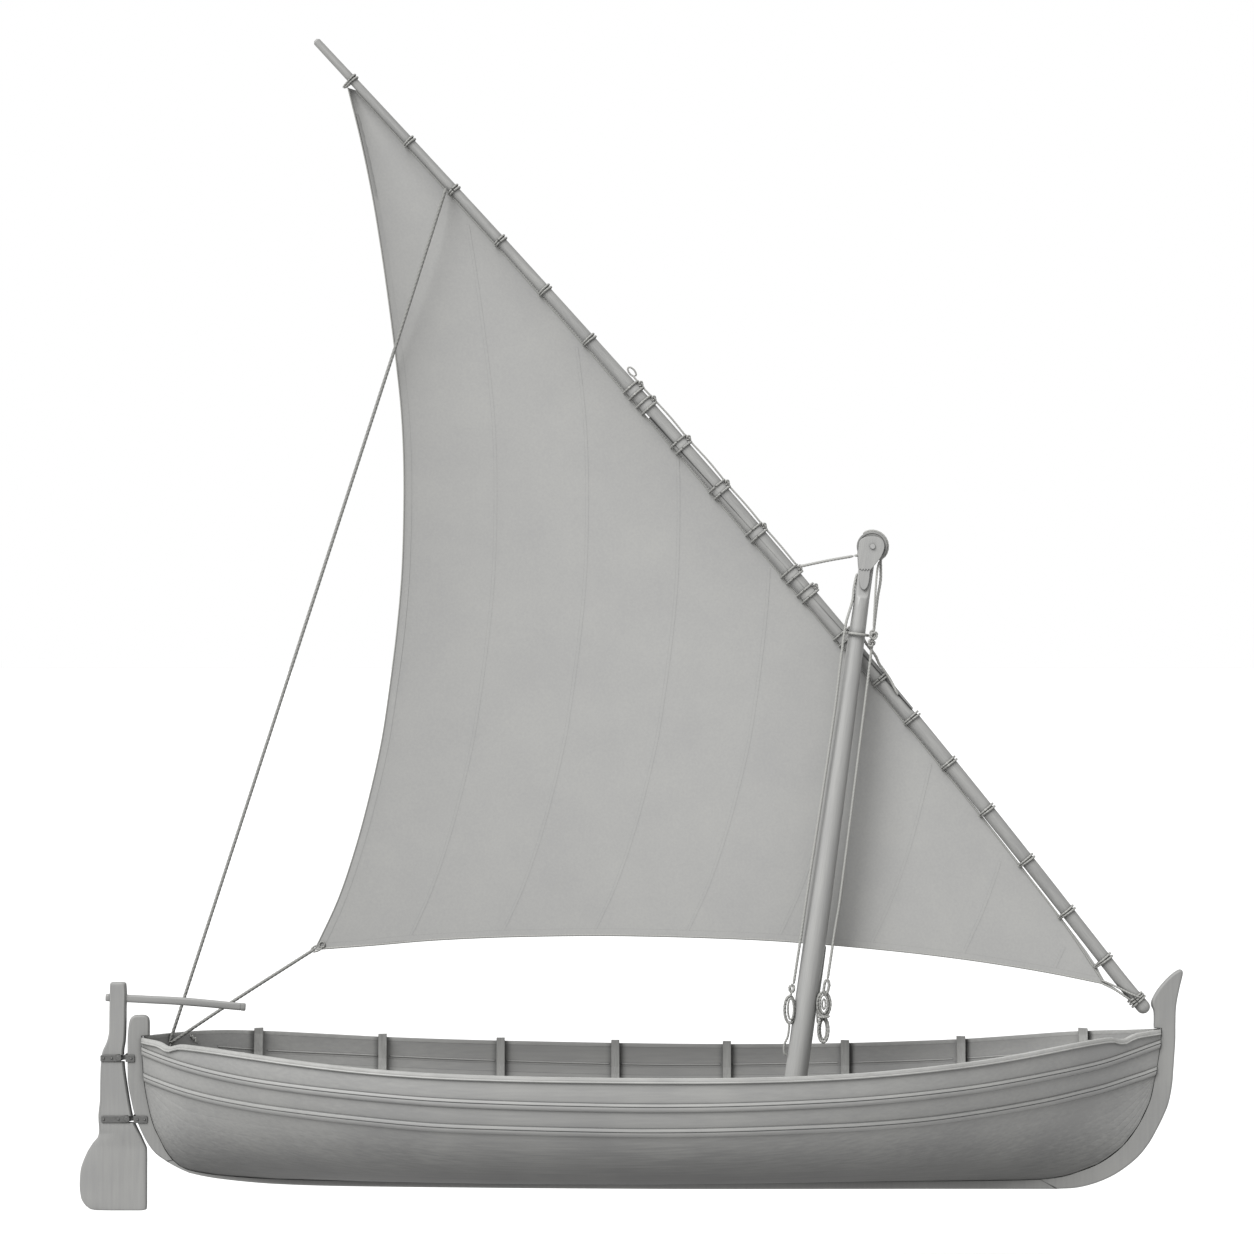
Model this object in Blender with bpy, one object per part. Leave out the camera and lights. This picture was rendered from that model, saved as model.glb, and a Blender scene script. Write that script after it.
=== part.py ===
"""A llaut: a 7.5 m double-ended wooden boat with one lateen sail. Metres, bow towards +X, port +Y, waterline Z 0."""

import math

import bpy
import numpy as np
from mathutils import Vector
from mathutils.geometry import tessellate_polygon

# Clear the scene
for old in list(bpy.data.objects):
    bpy.data.objects.remove(old, do_unlink=True)

# Driving sizes
PLANK = 0.025
WALE_PROUD = 0.018
WALE_DEEP = 0.060
CAP_THICK = 0.028
CAP_PROUD = 0.016
POST_HALF = 0.036
FRAME_SIDED = 0.060
FRAME_MOULDED = 0.050
FRAME_GAP = 0.0014
SEAM = 0.0005
GARBOARD_LIFT = 0.0008
RUDDER_HALF = 0.035
MAST_RAKE = 0.138
MAST_X, MAST_Z = 1.040, 0.490
YARD_Y, YARD_X, YARD_SLEW = 0.140, 1.500, math.radians(5.0)
ROPE = 0.011

# Hull lines: station, half breadth, rail top, upper wale top, lower wale top, section fullness p and q
HULL = np.array([
    (-3.62, 0.030, 0.768, 0.709, 0.526, 1.30, 1.00),
    (-3.55, 0.165, 0.767, 0.698, 0.511, 1.32, 1.00),
    (-3.45, 0.315, 0.766, 0.679, 0.492, 1.38, 0.98),
    (-3.30, 0.480, 0.765, 0.648, 0.461, 1.50, 0.94),
    (-3.10, 0.640, 0.758, 0.612, 0.426, 1.65, 0.88),
    (-2.80, 0.822, 0.734, 0.570, 0.389, 1.85, 0.80),
    (-2.40, 1.000, 0.697, 0.533, 0.356, 2.15, 0.70),
    (-2.00, 1.120, 0.664, 0.503, 0.327, 2.45, 0.62),
    (-1.50, 1.210, 0.636, 0.471, 0.293, 2.75, 0.55),
    (-1.00, 1.240, 0.620, 0.451, 0.277, 2.95, 0.51),
    (-0.50, 1.237, 0.610, 0.437, 0.264, 3.05, 0.50),
    (0.00, 1.222, 0.603, 0.428, 0.255, 3.05, 0.50),
    (0.50, 1.196, 0.601, 0.430, 0.258, 2.95, 0.51),
    (1.00, 1.145, 0.607, 0.441, 0.268, 2.75, 0.54),
    (1.50, 1.050, 0.624, 0.459, 0.279, 2.50, 0.60),
    (1.90, 0.930, 0.648, 0.483, 0.297, 2.25, 0.67),
    (2.30, 0.775, 0.680, 0.516, 0.332, 2.00, 0.75),
    (2.60, 0.635, 0.714, 0.551, 0.365, 1.80, 0.83),
    (2.80, 0.527, 0.740, 0.576, 0.390, 1.68, 0.88),
    (3.00, 0.412, 0.766, 0.603, 0.422, 1.55, 0.93),
    (3.20, 0.290, 0.787, 0.636, 0.457, 1.45, 0.97),
    (3.40, 0.170, 0.803, 0.688, 0.507, 1.36, 1.00),
    (3.50, 0.110, 0.812, 0.717, 0.532, 1.32, 1.00),
    (3.64, 0.030, 0.826, 0.756, 0.575, 1.30, 1.00),
])
BREADTH, RAIL, WALE_UP, WALE_LOW, FULL_P, FULL_Q = range(1, 7)

# Backbone: outer edge, rabbet and inner edge in profile, half width inside the rabbet
STERN_ROWS = [
    ((-3.664, 0.921), (-3.600, 0.921), (-3.562, 0.921), 0.030),
    ((-3.684, 0.897), (-3.600, 0.897), (-3.551, 0.897), 0.034),
    ((-3.695, 0.850), (-3.600, 0.850), (-3.549, 0.850), 0.0355),
    ((-3.700, 0.778), (-3.600, 0.778), (-3.549, 0.778), 0.0355),
    ((-3.7005, 0.7725), (-3.600, 0.7725), (-3.549, 0.7725), 0.008),
    ((-3.703, 0.746), (-3.599, 0.650), (-3.555, 0.660), 0.008),
    ((-3.703, 0.504), (-3.590, 0.510), (-3.545, 0.500), 0.008),
    ((-3.697, 0.426), (-3.574, 0.380), (-3.525, 0.370), 0.008),
    ((-3.678, 0.326), (-3.556, 0.290), (-3.500, 0.280), 0.008),
    ((-3.653, 0.220), (-3.536, 0.202), (-3.478, 0.190), 0.008),
    ((-3.614, 0.121), (-3.507, 0.115), (-3.445, 0.105), 0.008),
    ((-3.564, 0.021), (-3.472, 0.046), (-3.400, 0.035), 0.008),
    ((-3.504, -0.057), (-3.432, -0.035), (-3.360, -0.035), 0.0085),
    ((-3.426, -0.114), (-3.383, -0.103), (-3.300, -0.090), 0.009),
]
KEEL_ROWS = [
    ((-3.424, -0.1155), (-3.381, -0.1045), (-3.298, -0.0915), 0.009),
    ((-3.334, -0.163), (-3.320, -0.152), (-3.250, -0.125), 0.010),
    ((-3.260, -0.195), (-3.245, -0.180), (-3.190, -0.150), 0.011),
    ((-3.050, -0.236), (-3.047, -0.210), (-3.030, -0.182), 0.014),
    ((-2.650, -0.274), (-2.649, -0.236), (-2.640, -0.210), 0.018),
    ((-2.000, -0.292), (-2.000, -0.250), (-2.000, -0.224), 0.023),
    ((0.000, -0.309), (0.000, -0.256), (0.000, -0.230), 0.024),
    ((2.000, -0.309), (2.000, -0.250), (2.000, -0.224), 0.023),
    ((2.620, -0.309), (2.600, -0.245), (2.590, -0.218), 0.016),
    ((2.890, -0.309), (2.770, -0.240), (2.745, -0.205), 0.012),
]
STEM_ROWS = [
    ((2.8905, -0.3088), (2.7705, -0.2398), (2.7455, -0.2048), 0.012),
    ((3.030, -0.300), (2.910, -0.224), (2.860, -0.180), 0.010),
    ((3.170, -0.265), (3.004, -0.200), (2.940, -0.150), 0.009),
    ((3.312, -0.200), (3.195, -0.125), (3.110, -0.075), 0.0085),
    ((3.454, -0.093), (3.351, -0.010), (3.270, 0.035), 0.008),
    ((3.596, 0.107), (3.465, 0.138), (3.390, 0.165), 0.008),
    ((3.682, 0.298), (3.550, 0.316), (3.480, 0.330), 0.008),
    ((3.717, 0.540), (3.585, 0.479), (3.523, 0.482), 0.008),
    ((3.724, 0.604), (3.611, 0.621), (3.553, 0.620), 0.008),
    ((3.731, 0.750), (3.628, 0.760), (3.573, 0.740), 0.008),
    ((3.731, 0.845), (3.632, 0.845), (3.580, 0.845), 0.008),
]
STEM_HEAD = [
    (3.580, 0.8455), (3.581, 0.930), (3.577, 0.968), (3.563, 0.985), (3.563, 1.022), (3.604, 1.100),
    (3.650, 1.155), (3.700, 1.205), (3.765, 1.246), (3.783, 1.240), (3.784, 1.212), (3.757, 1.100),
    (3.735, 0.980), (3.731, 0.8455),
]
FRAME_X = [-2.838, -1.957, -1.092, -0.246, 0.576, 1.439, 2.268, 3.108]
STATIONS = [-2.92, -2.78, -2.55, -2.25, -1.948, -1.50, -1.083, -0.65, -0.234, 0.20, 0.586, 1.02, 1.454, 1.85, 2.283, 2.60]
FAN = [0.16, 0.32, 0.48, 0.62, 0.75, 0.86, 0.94, 1.0]

# Rail dips on the starboard side: where, how deep, how wide
DIPS = [(-3.372, 0.030, 0.055), (3.340, 0.030, 0.060)]

# Rudder hinge axis: two points in profile
AXIS_UP, AXIS_DOWN = (-3.763, 0.618), (-3.706, 0.185)

# Rudder rows from head to foot: height, aft edge, fore edge ahead of the axis, half thickness aft
RUDDER = [
    (1.156, -3.812, 0.106, 0.022),
    (1.140, -3.830, 0.118, 0.030),
    (0.960, -3.834, 0.096, 0.032),
    (0.816, -3.836, 0.075, 0.032),
    (0.745, -3.849, 0.062, 0.032),
    (0.653, -3.886, 0.038, 0.032),
    (0.525, -3.898, 0.031, 0.030),
    (0.326, -3.902, 0.035, 0.030),
    (0.200, -3.913, 0.043, 0.026),
    (0.106, -3.908, 0.070, 0.023),
    (0.064, -3.914, 0.086, 0.020),
    (0.021, -3.948, 0.099, 0.018),
    (-0.020, -3.975, 0.111, 0.017),
    (-0.057, -3.996, 0.108, 0.016),
    (-0.185, -4.040, 0.091, 0.013),
    (-0.284, -4.046, 0.078, 0.011),
    (-0.373, -4.036, 0.066, 0.010),
    (-0.430, -4.003, 0.058, 0.010),
    (-0.455, -3.968, 0.052, 0.010),
    (-0.463, -3.940, 0.036, 0.010),
]
STRAP_Z = [0.618, 0.185]
STRAP_AFT = [0.130, 0.180]
STRAP_FORE = [0.066, 0.100]

# Yard, measured along its chord in the side view: distance, rise above the chord, diameter
YARD_A, YARD_B = (316.0, 40.0), (1147.0, 1008.0)
YARD = np.array([
    (0, -0.5, 8.0), (100, 3.3, 9.2), (200, 6.8, 10.0), (300, 9.8, 10.8), (400, 11.8, 12.2),
    (500, 12.9, 14.4), (600, 13.3, 15.2), (700, 12.9, 15.6), (800, 12.0, 15.6), (900, 10.5, 15.2),
    (1000, 8.2, 14.4), (1100, 4.6, 13.8), (1180, 1.0, 13.6), (1255, -2.8, 13.2), (1276, -3.6, 9.0),
])
SCARF = (500.0, 900.0)

# Sail edges in the side view
LEECH = [(347.5, 86), (366, 163), (380, 241), (394, 343), (402, 420), (404, 500), (400, 600), (383.5, 730),
         (371, 790), (355, 850), (338, 900), (322, 936), (315.5, 948.5)]
FOOT = [(315.5, 948.5), (350, 946.6), (400, 941.6), (450, 938.6), (500, 936.4), (600, 935.0), (700, 937.2),
        (780, 940.9), (860, 947.5), (930, 955.0), (990, 963.2), (1050, 973.3), (1105, 984.5)]

# The side view's scale: metres a pixel, and the eye's distance, height and station
VIEW_SCALE, VIEW_FAR, VIEW_HIGH, VIEW_X, VIEW_MID = 0.0071, 30.175, 3.6778, -0.15975, 627.0


def smooth(table, column, x):
    """A value between the rows of a table, by a curve through them."""
    xs = table[:, 0]
    ys = table[:, column]
    slopes = np.gradient(ys, xs)
    i = int(np.clip(np.searchsorted(xs, x) - 1, 0, len(xs) - 2))
    h = xs[i + 1] - xs[i]
    t = float(np.clip((x - xs[i]) / h, 0.0, 1.0))
    a = (1 + 2 * t) * (1 - t) ** 2 * ys[i] + t * t * (3 - 2 * t) * ys[i + 1]
    return float(a + h * (t * (1 - t) ** 2 * slopes[i] - t * t * (1 - t) * slopes[i + 1]))


def unproject(px, py, y):
    """A point of the side view at distance y to port of the centre plane."""
    far = VIEW_SCALE * (1 + y / VIEW_FAR)
    return Vector(((px - VIEW_MID) * far + VIEW_X, y, VIEW_HIGH - (py - VIEW_MID) * far))


def material(name, grey, rough, metal=0.0):
    """One plain material."""
    mat = bpy.data.materials.get(name)
    if mat is None:
        mat = bpy.data.materials.new(name)
        mat.use_nodes = True
        shader = mat.node_tree.nodes["Principled BSDF"]
        shader.inputs["Base Color"].default_value = (grey, grey, grey, 1.0)
        shader.inputs["Roughness"].default_value = rough
        shader.inputs["Metallic"].default_value = metal
    return mat


PAINT = ("painted_wood", 0.36, 0.55)
LIGHT_PAINT = ("light_painted_wood", 0.52, 0.50)
OILED = ("oiled_wood", 0.30, 0.60)
IRON = ("galvanised_iron", 0.28, 0.45, 0.8)
CANVAS = ("canvas", 0.42, 0.85)
CORDAGE = ("cordage", 0.45, 0.85)


def solid(name, verts, faces, mat, round_angle=None, origin=None):
    """One closed mesh object with its normals facing out."""
    mesh = bpy.data.meshes.new(name)
    shift = Vector(origin) if origin else Vector((0, 0, 0))
    mesh.from_pydata([tuple(Vector(v) - shift) for v in verts], [], faces)
    mesh.validate()
    total = 0.0
    mesh.calc_loop_triangles()
    for tri in mesh.loop_triangles:
        a, b, c = (mesh.vertices[i].co for i in tri.vertices)
        total += a.dot(b.cross(c))
    if total < 0:
        mesh.flip_normals()
    mesh.materials.append(material(*mat))
    obj = bpy.data.objects.new(name, mesh)
    obj.location = shift
    bpy.context.scene.collection.objects.link(obj)
    if round_angle is not None:
        mesh.shade_smooth()
        mesh.set_sharp_from_angle(angle=math.radians(round_angle))
    return obj


def loft(name, rings, mat, round_angle=None, origin=None):
    """A closed body through rings of equal length, capped at both ends."""
    n = len(rings[0])
    verts = [tuple(p) for ring in rings for p in ring]
    faces = []
    for i in range(len(rings) - 1):
        for j in range(n):
            k = (j + 1) % n
            faces.append((i * n + j, i * n + k, (i + 1) * n + k, (i + 1) * n + j))
    last = (len(rings) - 1) * n
    faces.append(tuple(reversed(range(n))))
    faces.append(tuple(range(last, last + n)))
    return solid(name, verts, faces, mat, round_angle, origin)


def plate(name, outline, at, along, mat, holes=(), origin=None):
    """A flat outline with holes, pushed from one depth to another. at(u, v, depth) places each point."""
    loops = [list(outline)] + [list(hole) for hole in holes]
    flat = [point for loop in loops for point in loop]
    tris = tessellate_polygon([[Vector((u, v, 0.0)) for u, v in loop] for loop in loops])
    n = len(flat)
    verts = [at(u, v, along[0]) for u, v in flat] + [at(u, v, along[1]) for u, v in flat]
    signed = sum(
        (flat[b][0] - flat[a][0]) * (flat[c][1] - flat[a][1])
        - (flat[c][0] - flat[a][0]) * (flat[b][1] - flat[a][1])
        for a, b, c in tris
    )
    if signed < 0:
        tris = [(a, c, b) for a, b, c in tris]
    faces = [(c, b, a) for a, b, c in tris] + [(a + n, b + n, c + n) for a, b, c in tris]
    start = 0
    for k, loop in enumerate(loops):
        m = len(loop)
        area = sum(loop[i][0] * loop[(i + 1) % m][1] - loop[(i + 1) % m][0] * loop[i][1] for i in range(m))
        forward = (area > 0) == (k == 0)
        for i in range(m):
            a, b = start + i, start + (i + 1) % m
            faces.append((a, b, b + n, a + n) if forward else (b, a, a + n, b + n))
        start += m
    return solid(name, verts, faces, mat, None, origin)


def side_plate(name, outline, y0, y1, mat, holes=(), origin=None):
    """An outline in profile, across the boat from y0 to y1."""
    return plate(name, outline, lambda u, v, d: (u, d, v), (y0, y1), mat, holes, origin)


def deck_plate(name, outline, z0, z1, mat, holes=()):
    """An outline in plan, from z0 up to z1."""
    return plate(name, outline, lambda u, v, d: (u, v, d), (z0, z1), mat, holes)


def circle(x, y, r, n):
    """Points round a circle."""
    return [(x + r * math.cos(2 * math.pi * i / n), y + r * math.sin(2 * math.pi * i / n)) for i in range(n)]


def rings_along(path, radii, sides, squash=1.0):
    """Rings square to a path, without twist."""
    path = [Vector(p) for p in path]
    rings = []
    side = None
    for i, p in enumerate(path):
        ahead = (path[min(i + 1, len(path) - 1)] - path[max(i - 1, 0)]).normalized()
        if side is None:
            side = ahead.cross(Vector((0, 1, 0)) if abs(ahead.y) < 0.9 else Vector((1, 0, 0))).normalized()
        side = (side - ahead * side.dot(ahead)).normalized()
        other = ahead.cross(side).normalized()
        r = radii[i] if hasattr(radii, "__len__") else radii
        rings.append([
            p + side * r * math.cos(2 * math.pi * k / sides) + other * r * squash * math.sin(2 * math.pi * k / sides)
            for k in range(sides)
        ])
    return rings


def tube(name, path, radii, mat, sides=6, origin=None):
    """A round rope or bar along a path."""
    return loft(name, rings_along(path, radii, sides), mat, 60, origin)


def boolean(obj, other, operation):
    """Joins or cuts with a helper, which leaves the render."""
    mod = obj.modifiers.new(operation.lower(), "BOOLEAN")
    mod.operation = operation
    mod.solver = "EXACT"
    mod.object = other
    other.hide_render = True
    other.display_type = "WIRE"


# The hull's surface
RABBET_STERN = [(-3.600, 0.734)] + [row[1] for row in STERN_ROWS[5:]]
RABBET_KEEL = [row[1] for row in KEEL_ROWS]
RABBET_STEM = [row[1] for row in STEM_ROWS[:-1]]
RABBET = np.array(RABBET_STERN + RABBET_KEEL[1:] + RABBET_STEM[1:])


def rabbet_z(x):
    """Height of the rabbet under a station."""
    return float(np.interp(x, RABBET[:, 0], RABBET[:, 1]))


def rabbet_x(z, bow):
    """Station where a height meets the rabbet at one end."""
    rows = RABBET_STEM if bow else RABBET_STERN[::-1]
    return float(np.interp(z, [r[1] for r in rows], [r[0] for r in rows]))


def half_breadth(x, z):
    """Outside of the planking at a station and height."""
    low = rabbet_z(x) + GARBOARD_LIFT
    high = smooth(HULL, RAIL, x)
    b = smooth(HULL, BREADTH, x)
    u = min(max((z - low) / max(high - low, 1e-6), 0.0), 1.05)
    rest = max(1 - u, 0.0)
    full = (1 - rest ** smooth(HULL, FULL_P, x)) ** smooth(HULL, FULL_Q, x)
    root = POST_HALF - 0.003
    return root + max(b - root, 0.0) * full


def surface(x, z, out, side, level=None):
    """A point of the hull skin at a distance outside it, along the skin's normal at the height called level."""
    e = 0.004
    at = z if level is None else level
    dx = (half_breadth(x + e, at) - half_breadth(x - e, at)) / (2 * e)
    dz = (half_breadth(x, at + e) - half_breadth(x, at - e)) / (2 * e)
    dx = max(min(dx, 1.2), -1.2)
    dz = max(min(dz, 7.0), -1.0)
    size = math.sqrt(1 + dx * dx + dz * dz)
    y = max(half_breadth(x, z) + out / size, 0.0096)
    z1 = z - out * dz / size
    x1 = x - out * dx / size
    x1 = min(max(x1, rabbet_x(z1, False) + 0.0008), rabbet_x(z1, True) - 0.0008)
    return Vector((x1, side * y, z1))


def dip(x, side):
    """The scoops in the starboard rail."""
    if side > 0:
        return 0.0
    return sum(deep * math.exp(-(((x - at) / wide) ** 2)) for at, deep, wide in DIPS)


def edge_line(column, drop, side=0):
    """A long edge of the planking as points from stern to bow."""
    def z_at(x):
        scoop = dip(x, side) if column == RAIL else 0.0
        return smooth(HULL, column, x) - drop - scoop

    ends = []
    for bow in (False, True):
        x = 3.5 if bow else -3.5
        for _ in range(12):
            x = rabbet_x(z_at(x), bow) + (-0.001 if bow else 0.001)
        ends.append(x)
    aft = [STATIONS[0] + f * (ends[0] - STATIONS[0]) for f in reversed(FAN)]
    fore = [STATIONS[-1] + f * (ends[1] - STATIONS[-1]) for f in FAN]
    return [(x, z_at(x)) for x in aft + STATIONS + fore]


def rabbet_line():
    """The lowest edge of the planking, along the keel and up both posts."""
    top = edge_line(WALE_LOW, WALE_DEEP + SEAM)
    points = []
    for bow in (False, True):
        end = top[-1] if bow else top[0]
        start = STATIONS[-1] if bow else STATIONS[0]
        line = [p for p in RABBET if (p[0] > start if bow else p[0] < start)]
        line = line if bow else line[::-1]
        line = [p for p in line if p[1] < end[1] - 0.02]
        line = [(start, rabbet_z(start))] + [tuple(p) for p in line] + [(end[0], end[1] - 0.008)]
        line = np.array(line)
        run = np.concatenate([[0], np.cumsum(np.hypot(*np.diff(line, axis=0).T))])
        part = [(float(np.interp(f * run[-1], run, line[:, 0])), float(np.interp(f * run[-1], run, line[:, 1])))
                for f in FAN]
        points.append(part if bow else part[::-1])
    middle = [(x, rabbet_z(x)) for x in STATIONS]
    low = points[0] + middle + points[1]
    fan = len(FAN)
    inset = 0.0012
    return [(x + (inset if i < fan else -inset if i >= len(low) - fan else 0.0), z + GARBOARD_LIFT)
            for i, (x, z) in enumerate(low)]


def strake(name, low, high, out, inside, side, mat, rows, ease=1.0, low_seam=1.0):
    """Planking between two long edges."""
    rings = []
    for at, ((x0, z0), (x1, z1)) in enumerate(zip(low, high)):
        ws = [(i / (rows - 1)) ** ease for i in range(rows)]
        seam = SEAM if 0 < at < len(low) - 1 else 0.0018
        z_low, z_high = z0 + seam * low_seam, z1 - seam
        spots = [(x0 + (x1 - x0) * w, z_low + (z_high - z_low) * w, z0 + (z1 - z0) * w) for w in ws]
        ring = [surface(x, z, out, side, level) for x, z, level in spots]
        ring += [surface(x, z, -inside, side, level) for x, z, level in reversed(spots)]
        rings.append(ring)
    if side > 0:
        INSIDE_ROWS[name] = [[ring[2 * rows - 1 - i] for ring in rings] for i in range(rows)]
    return loft(name, rings, mat, 25)


INSIDE_ROWS = {}


def both(side):
    return "port" if side > 0 else "starboard"


# Keel, stem and sternpost
def backbone(name, rows):
    rings = []
    for outer, rabbet, inner, half in rows:
        t = POST_HALF
        rings.append([
            (outer[0], -t, outer[1]), (outer[0], t, outer[1]), (rabbet[0], t, rabbet[1]), (rabbet[0], half, rabbet[1]),
            (inner[0], half, inner[1]), (inner[0], -half, inner[1]), (rabbet[0], -half, rabbet[1]),
            (rabbet[0], -t, rabbet[1]),
        ])
    return loft(name, rings, PAINT)


backbone("sternpost", STERN_ROWS)
backbone("keel", KEEL_ROWS)
stem = backbone("stem", STEM_ROWS)
head = side_plate("stem_head_helper", [(x, z - 0.002) if z < 0.846 else (x, z) for x, z in STEM_HEAD],
                  -POST_HALF, POST_HALF, PAINT)
boolean(stem, head, "UNION")

# Planking, wales and rails
for side in (1, -1):
    rail_low = edge_line(RAIL, CAP_THICK, side)
    wale_up = edge_line(WALE_UP, 0.0)
    wale_up_low = edge_line(WALE_UP, WALE_DEEP)
    wale_low = edge_line(WALE_LOW, 0.0)
    wale_low_low = edge_line(WALE_LOW, WALE_DEEP)
    strake("sheer_strake_" + both(side), wale_up, rail_low, 0.0, PLANK, side, PAINT, 2)
    strake("upper_wale_" + both(side), wale_up_low, wale_up, WALE_PROUD, PLANK, side, PAINT, 2)
    strake("mid_strake_" + both(side), wale_low, wale_up_low, 0.0, PLANK, side, PAINT, 3)
    strake("lower_wale_" + both(side), wale_low_low, wale_low, WALE_PROUD, PLANK, side, PAINT, 2)
    strake("bottom_planking_" + both(side), rabbet_line(), wale_low_low, 0.0, PLANK, side, PAINT, 9,
           2.0, 0.0)
    rings = []
    for x, z in rail_low:
        top = z + CAP_THICK
        z += 0.0 if abs(x) < 3.5 else 0.002
        a = surface(x, z, CAP_PROUD, side)
        b = surface(x, z, -PLANK, side)
        rings.append([
            (a.x, a.y, a.z + 0.0006), (a.x, a.y, top - 0.004), (a.x, a.y - side * 0.004, top),
            (b.x, b.y, top), (b.x, b.y, b.z + 0.0006),
        ])
    loft("rail_cap_" + both(side), rings, LIGHT_PAINT, 30)


# Sections inside the planking
FLOOR_LOW, FLOOR_TOP = -0.105, -0.083
INNER_EDGE = np.array([row[2] for row in STERN_ROWS[::-1][:3]][::-1] + [row[2] for row in KEEL_ROWS[1:]]
                      + [row[2] for row in STEM_ROWS[1:]])
ROWS = (INSIDE_ROWS["bottom_planking_port"] + INSIDE_ROWS["lower_wale_port"][1:]
        + INSIDE_ROWS["mid_strake_port"][1:] + INSIDE_ROWS["upper_wale_port"][1:]
        + INSIDE_ROWS["sheer_strake_port"][1:])


def section(x):
    """Inside of the planking at one station as (half breadth, height) from keel to rail."""
    points = []
    for row in ROWS:
        xs = [p.x for p in row]
        points.append(Vector((np.interp(x, xs, [p.y for p in row]), np.interp(x, xs, [p.z for p in row]))))
    return points


def moved_in(points, by):
    """The same section line moved inboard."""
    moved = []
    for i, p in enumerate(points):
        along = (points[min(i + 1, len(points) - 1)] - points[max(i - 1, 0)]).normalized()
        moved.append(p + Vector((-along.y, along.x)) * by)
    return moved


def planking_y(x, z):
    """Half breadth inside the planking."""
    line = section(x)
    return float(np.interp(z, [p.y for p in line], [p.x for p in line]))


def backbone_top(x):
    return float(np.interp(x, INNER_EDGE[:, 0], INNER_EDGE[:, 1]))


# Frames
def frame_faces(x):
    """Port half of a frame's outer and inner curve at one station, from keel to head."""
    line = section(x)
    clear = backbone_top(x) + 0.0006
    gap = FRAME_GAP if -2.5 < x < 2.9 else FRAME_GAP + 0.0035
    outer = [(p.x, p.y) for p in moved_in(line, gap)[1:]]
    inner = [(p.x, p.y) for p in moved_in(line, gap + FRAME_MOULDED)[1:]]
    floor = clear + 0.045
    outer = [(0.0, clear)] + [(y, max(z, clear)) for y, z in outer]
    if -2.0 < x < 1.6:
        floor = FLOOR_LOW - 0.0004
    inner = [(0.0, floor)] + [(max(y, 0.006 * (i + 1)), max(z, floor)) for i, (y, z) in enumerate(inner)]
    return outer, inner


def frame(index, x):
    faces = []
    for dx in (-FRAME_SIDED / 2, FRAME_SIDED / 2):
        outer, inner = frame_faces(x + dx)
        faces.append((x + dx, outer, inner))
    n = len(faces[0][1])
    rings = []
    head = smooth(HULL, RAIL, x)
    for side, order in ((1, list(range(n))[::-1]), (-1, range(1, n))):
        for i in order:
            ring = []
            for (fx, outer, inner), turn in ((faces[0], 1), (faces[1], -1)):
                pair = [(fx, side * outer[i][0], outer[i][1]), (fx, side * inner[i][0], inner[i][1])]
                ring += pair if turn > 0 else pair[::-1]
            if i == n - 1:
                top = head + (0.025 if side > 0 else -0.006)
                crown = [(px, py, top) for px, py, pz in ring]
                rings += [crown, ring] if side > 0 else [ring, crown]
            else:
                rings.append(ring)
    loft("frame_%d" % index, rings, OILED)


for index, x in enumerate(FRAME_X):
    frame(index + 1, x)


# Risers, floorboards, thwarts and stern bench
def inside(x, z, extra=0.0):
    """Half breadth of the frames' inner face."""
    line = frame_faces(x)[1]
    return float(np.interp(z, [p[1] for p in line], [p[0] for p in line])) - extra


RISER_TOP = 0.296
for side in (1, -1):
    rings = []
    for x in [-2.868, -2.808, -2.40, -1.987, -1.927, -1.50, -1.122, -1.062, -0.65, -0.276, -0.216, 0.20, 0.546, 0.606,
              1.02, 1.409, 1.469, 1.85, 2.238, 2.298, 2.65, 3.078, 3.138]:
        clear = 0.0012 if x < 2.9 else 0.0026
        y = inside(x, RISER_TOP, clear)
        low = inside(x, RISER_TOP - 0.07, clear)
        rings.append([
            (x, side * y, RISER_TOP), (x, side * low, RISER_TOP - 0.07), (x, side * (low - 0.028), RISER_TOP - 0.07),
            (x, side * (y - 0.028), RISER_TOP),
        ])
    loft("riser_" + both(side), rings, OILED)

edge = [(x, inside(x, FLOOR_LOW - 0.0002, 0.004)) for x in (-2.10, -1.987, -1.092, -0.246, 0.576, 1.439, 1.90)]
deck_plate("floorboards", edge + [(x, -y) for x, y in reversed(edge)], FLOOR_LOW, FLOOR_TOP, OILED)


def thwart(name, x0, x1, z0, z1, holes=()):
    ys = [(x, planking_y(x, z0) - 0.008) for x in (x0, (x0 + x1) / 2, x1)]
    deck_plate(name, ys + [(x, -y) for x, y in reversed(ys)], z0, z1, OILED, holes)


def mast_x(z):
    return MAST_X + MAST_RAKE * (z - MAST_Z)


THWART_LOW, THWART_TOP = RISER_TOP + 0.0004, 0.334
MAST_FOOT_Z = FLOOR_TOP + 0.0008
thwart("mast_thwart", mast_x(0.32) - 0.16, mast_x(0.32) + 0.16, THWART_LOW, THWART_TOP,
       [circle(mast_x(0.315), 0.0, 0.089, 20)])
thwart("mid_thwart", -0.78, -0.55, THWART_LOW, THWART_TOP)
thwart("aft_thwart", -1.68, -1.45, THWART_LOW, THWART_TOP)
thwart("stern_bench", -2.76, -2.20, THWART_LOW, THWART_TOP)
STEP_X = mast_x(FLOOR_TOP + 0.04)
deck_plate("mast_step", [(STEP_X - 0.24, -0.12), (STEP_X + 0.24, -0.12), (STEP_X + 0.24, 0.12), (STEP_X - 0.24, 0.12)],
           FLOOR_TOP + 0.0004, FLOOR_TOP + 0.080, OILED, [circle(STEP_X, 0.0, 0.0885, 20)])

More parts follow.
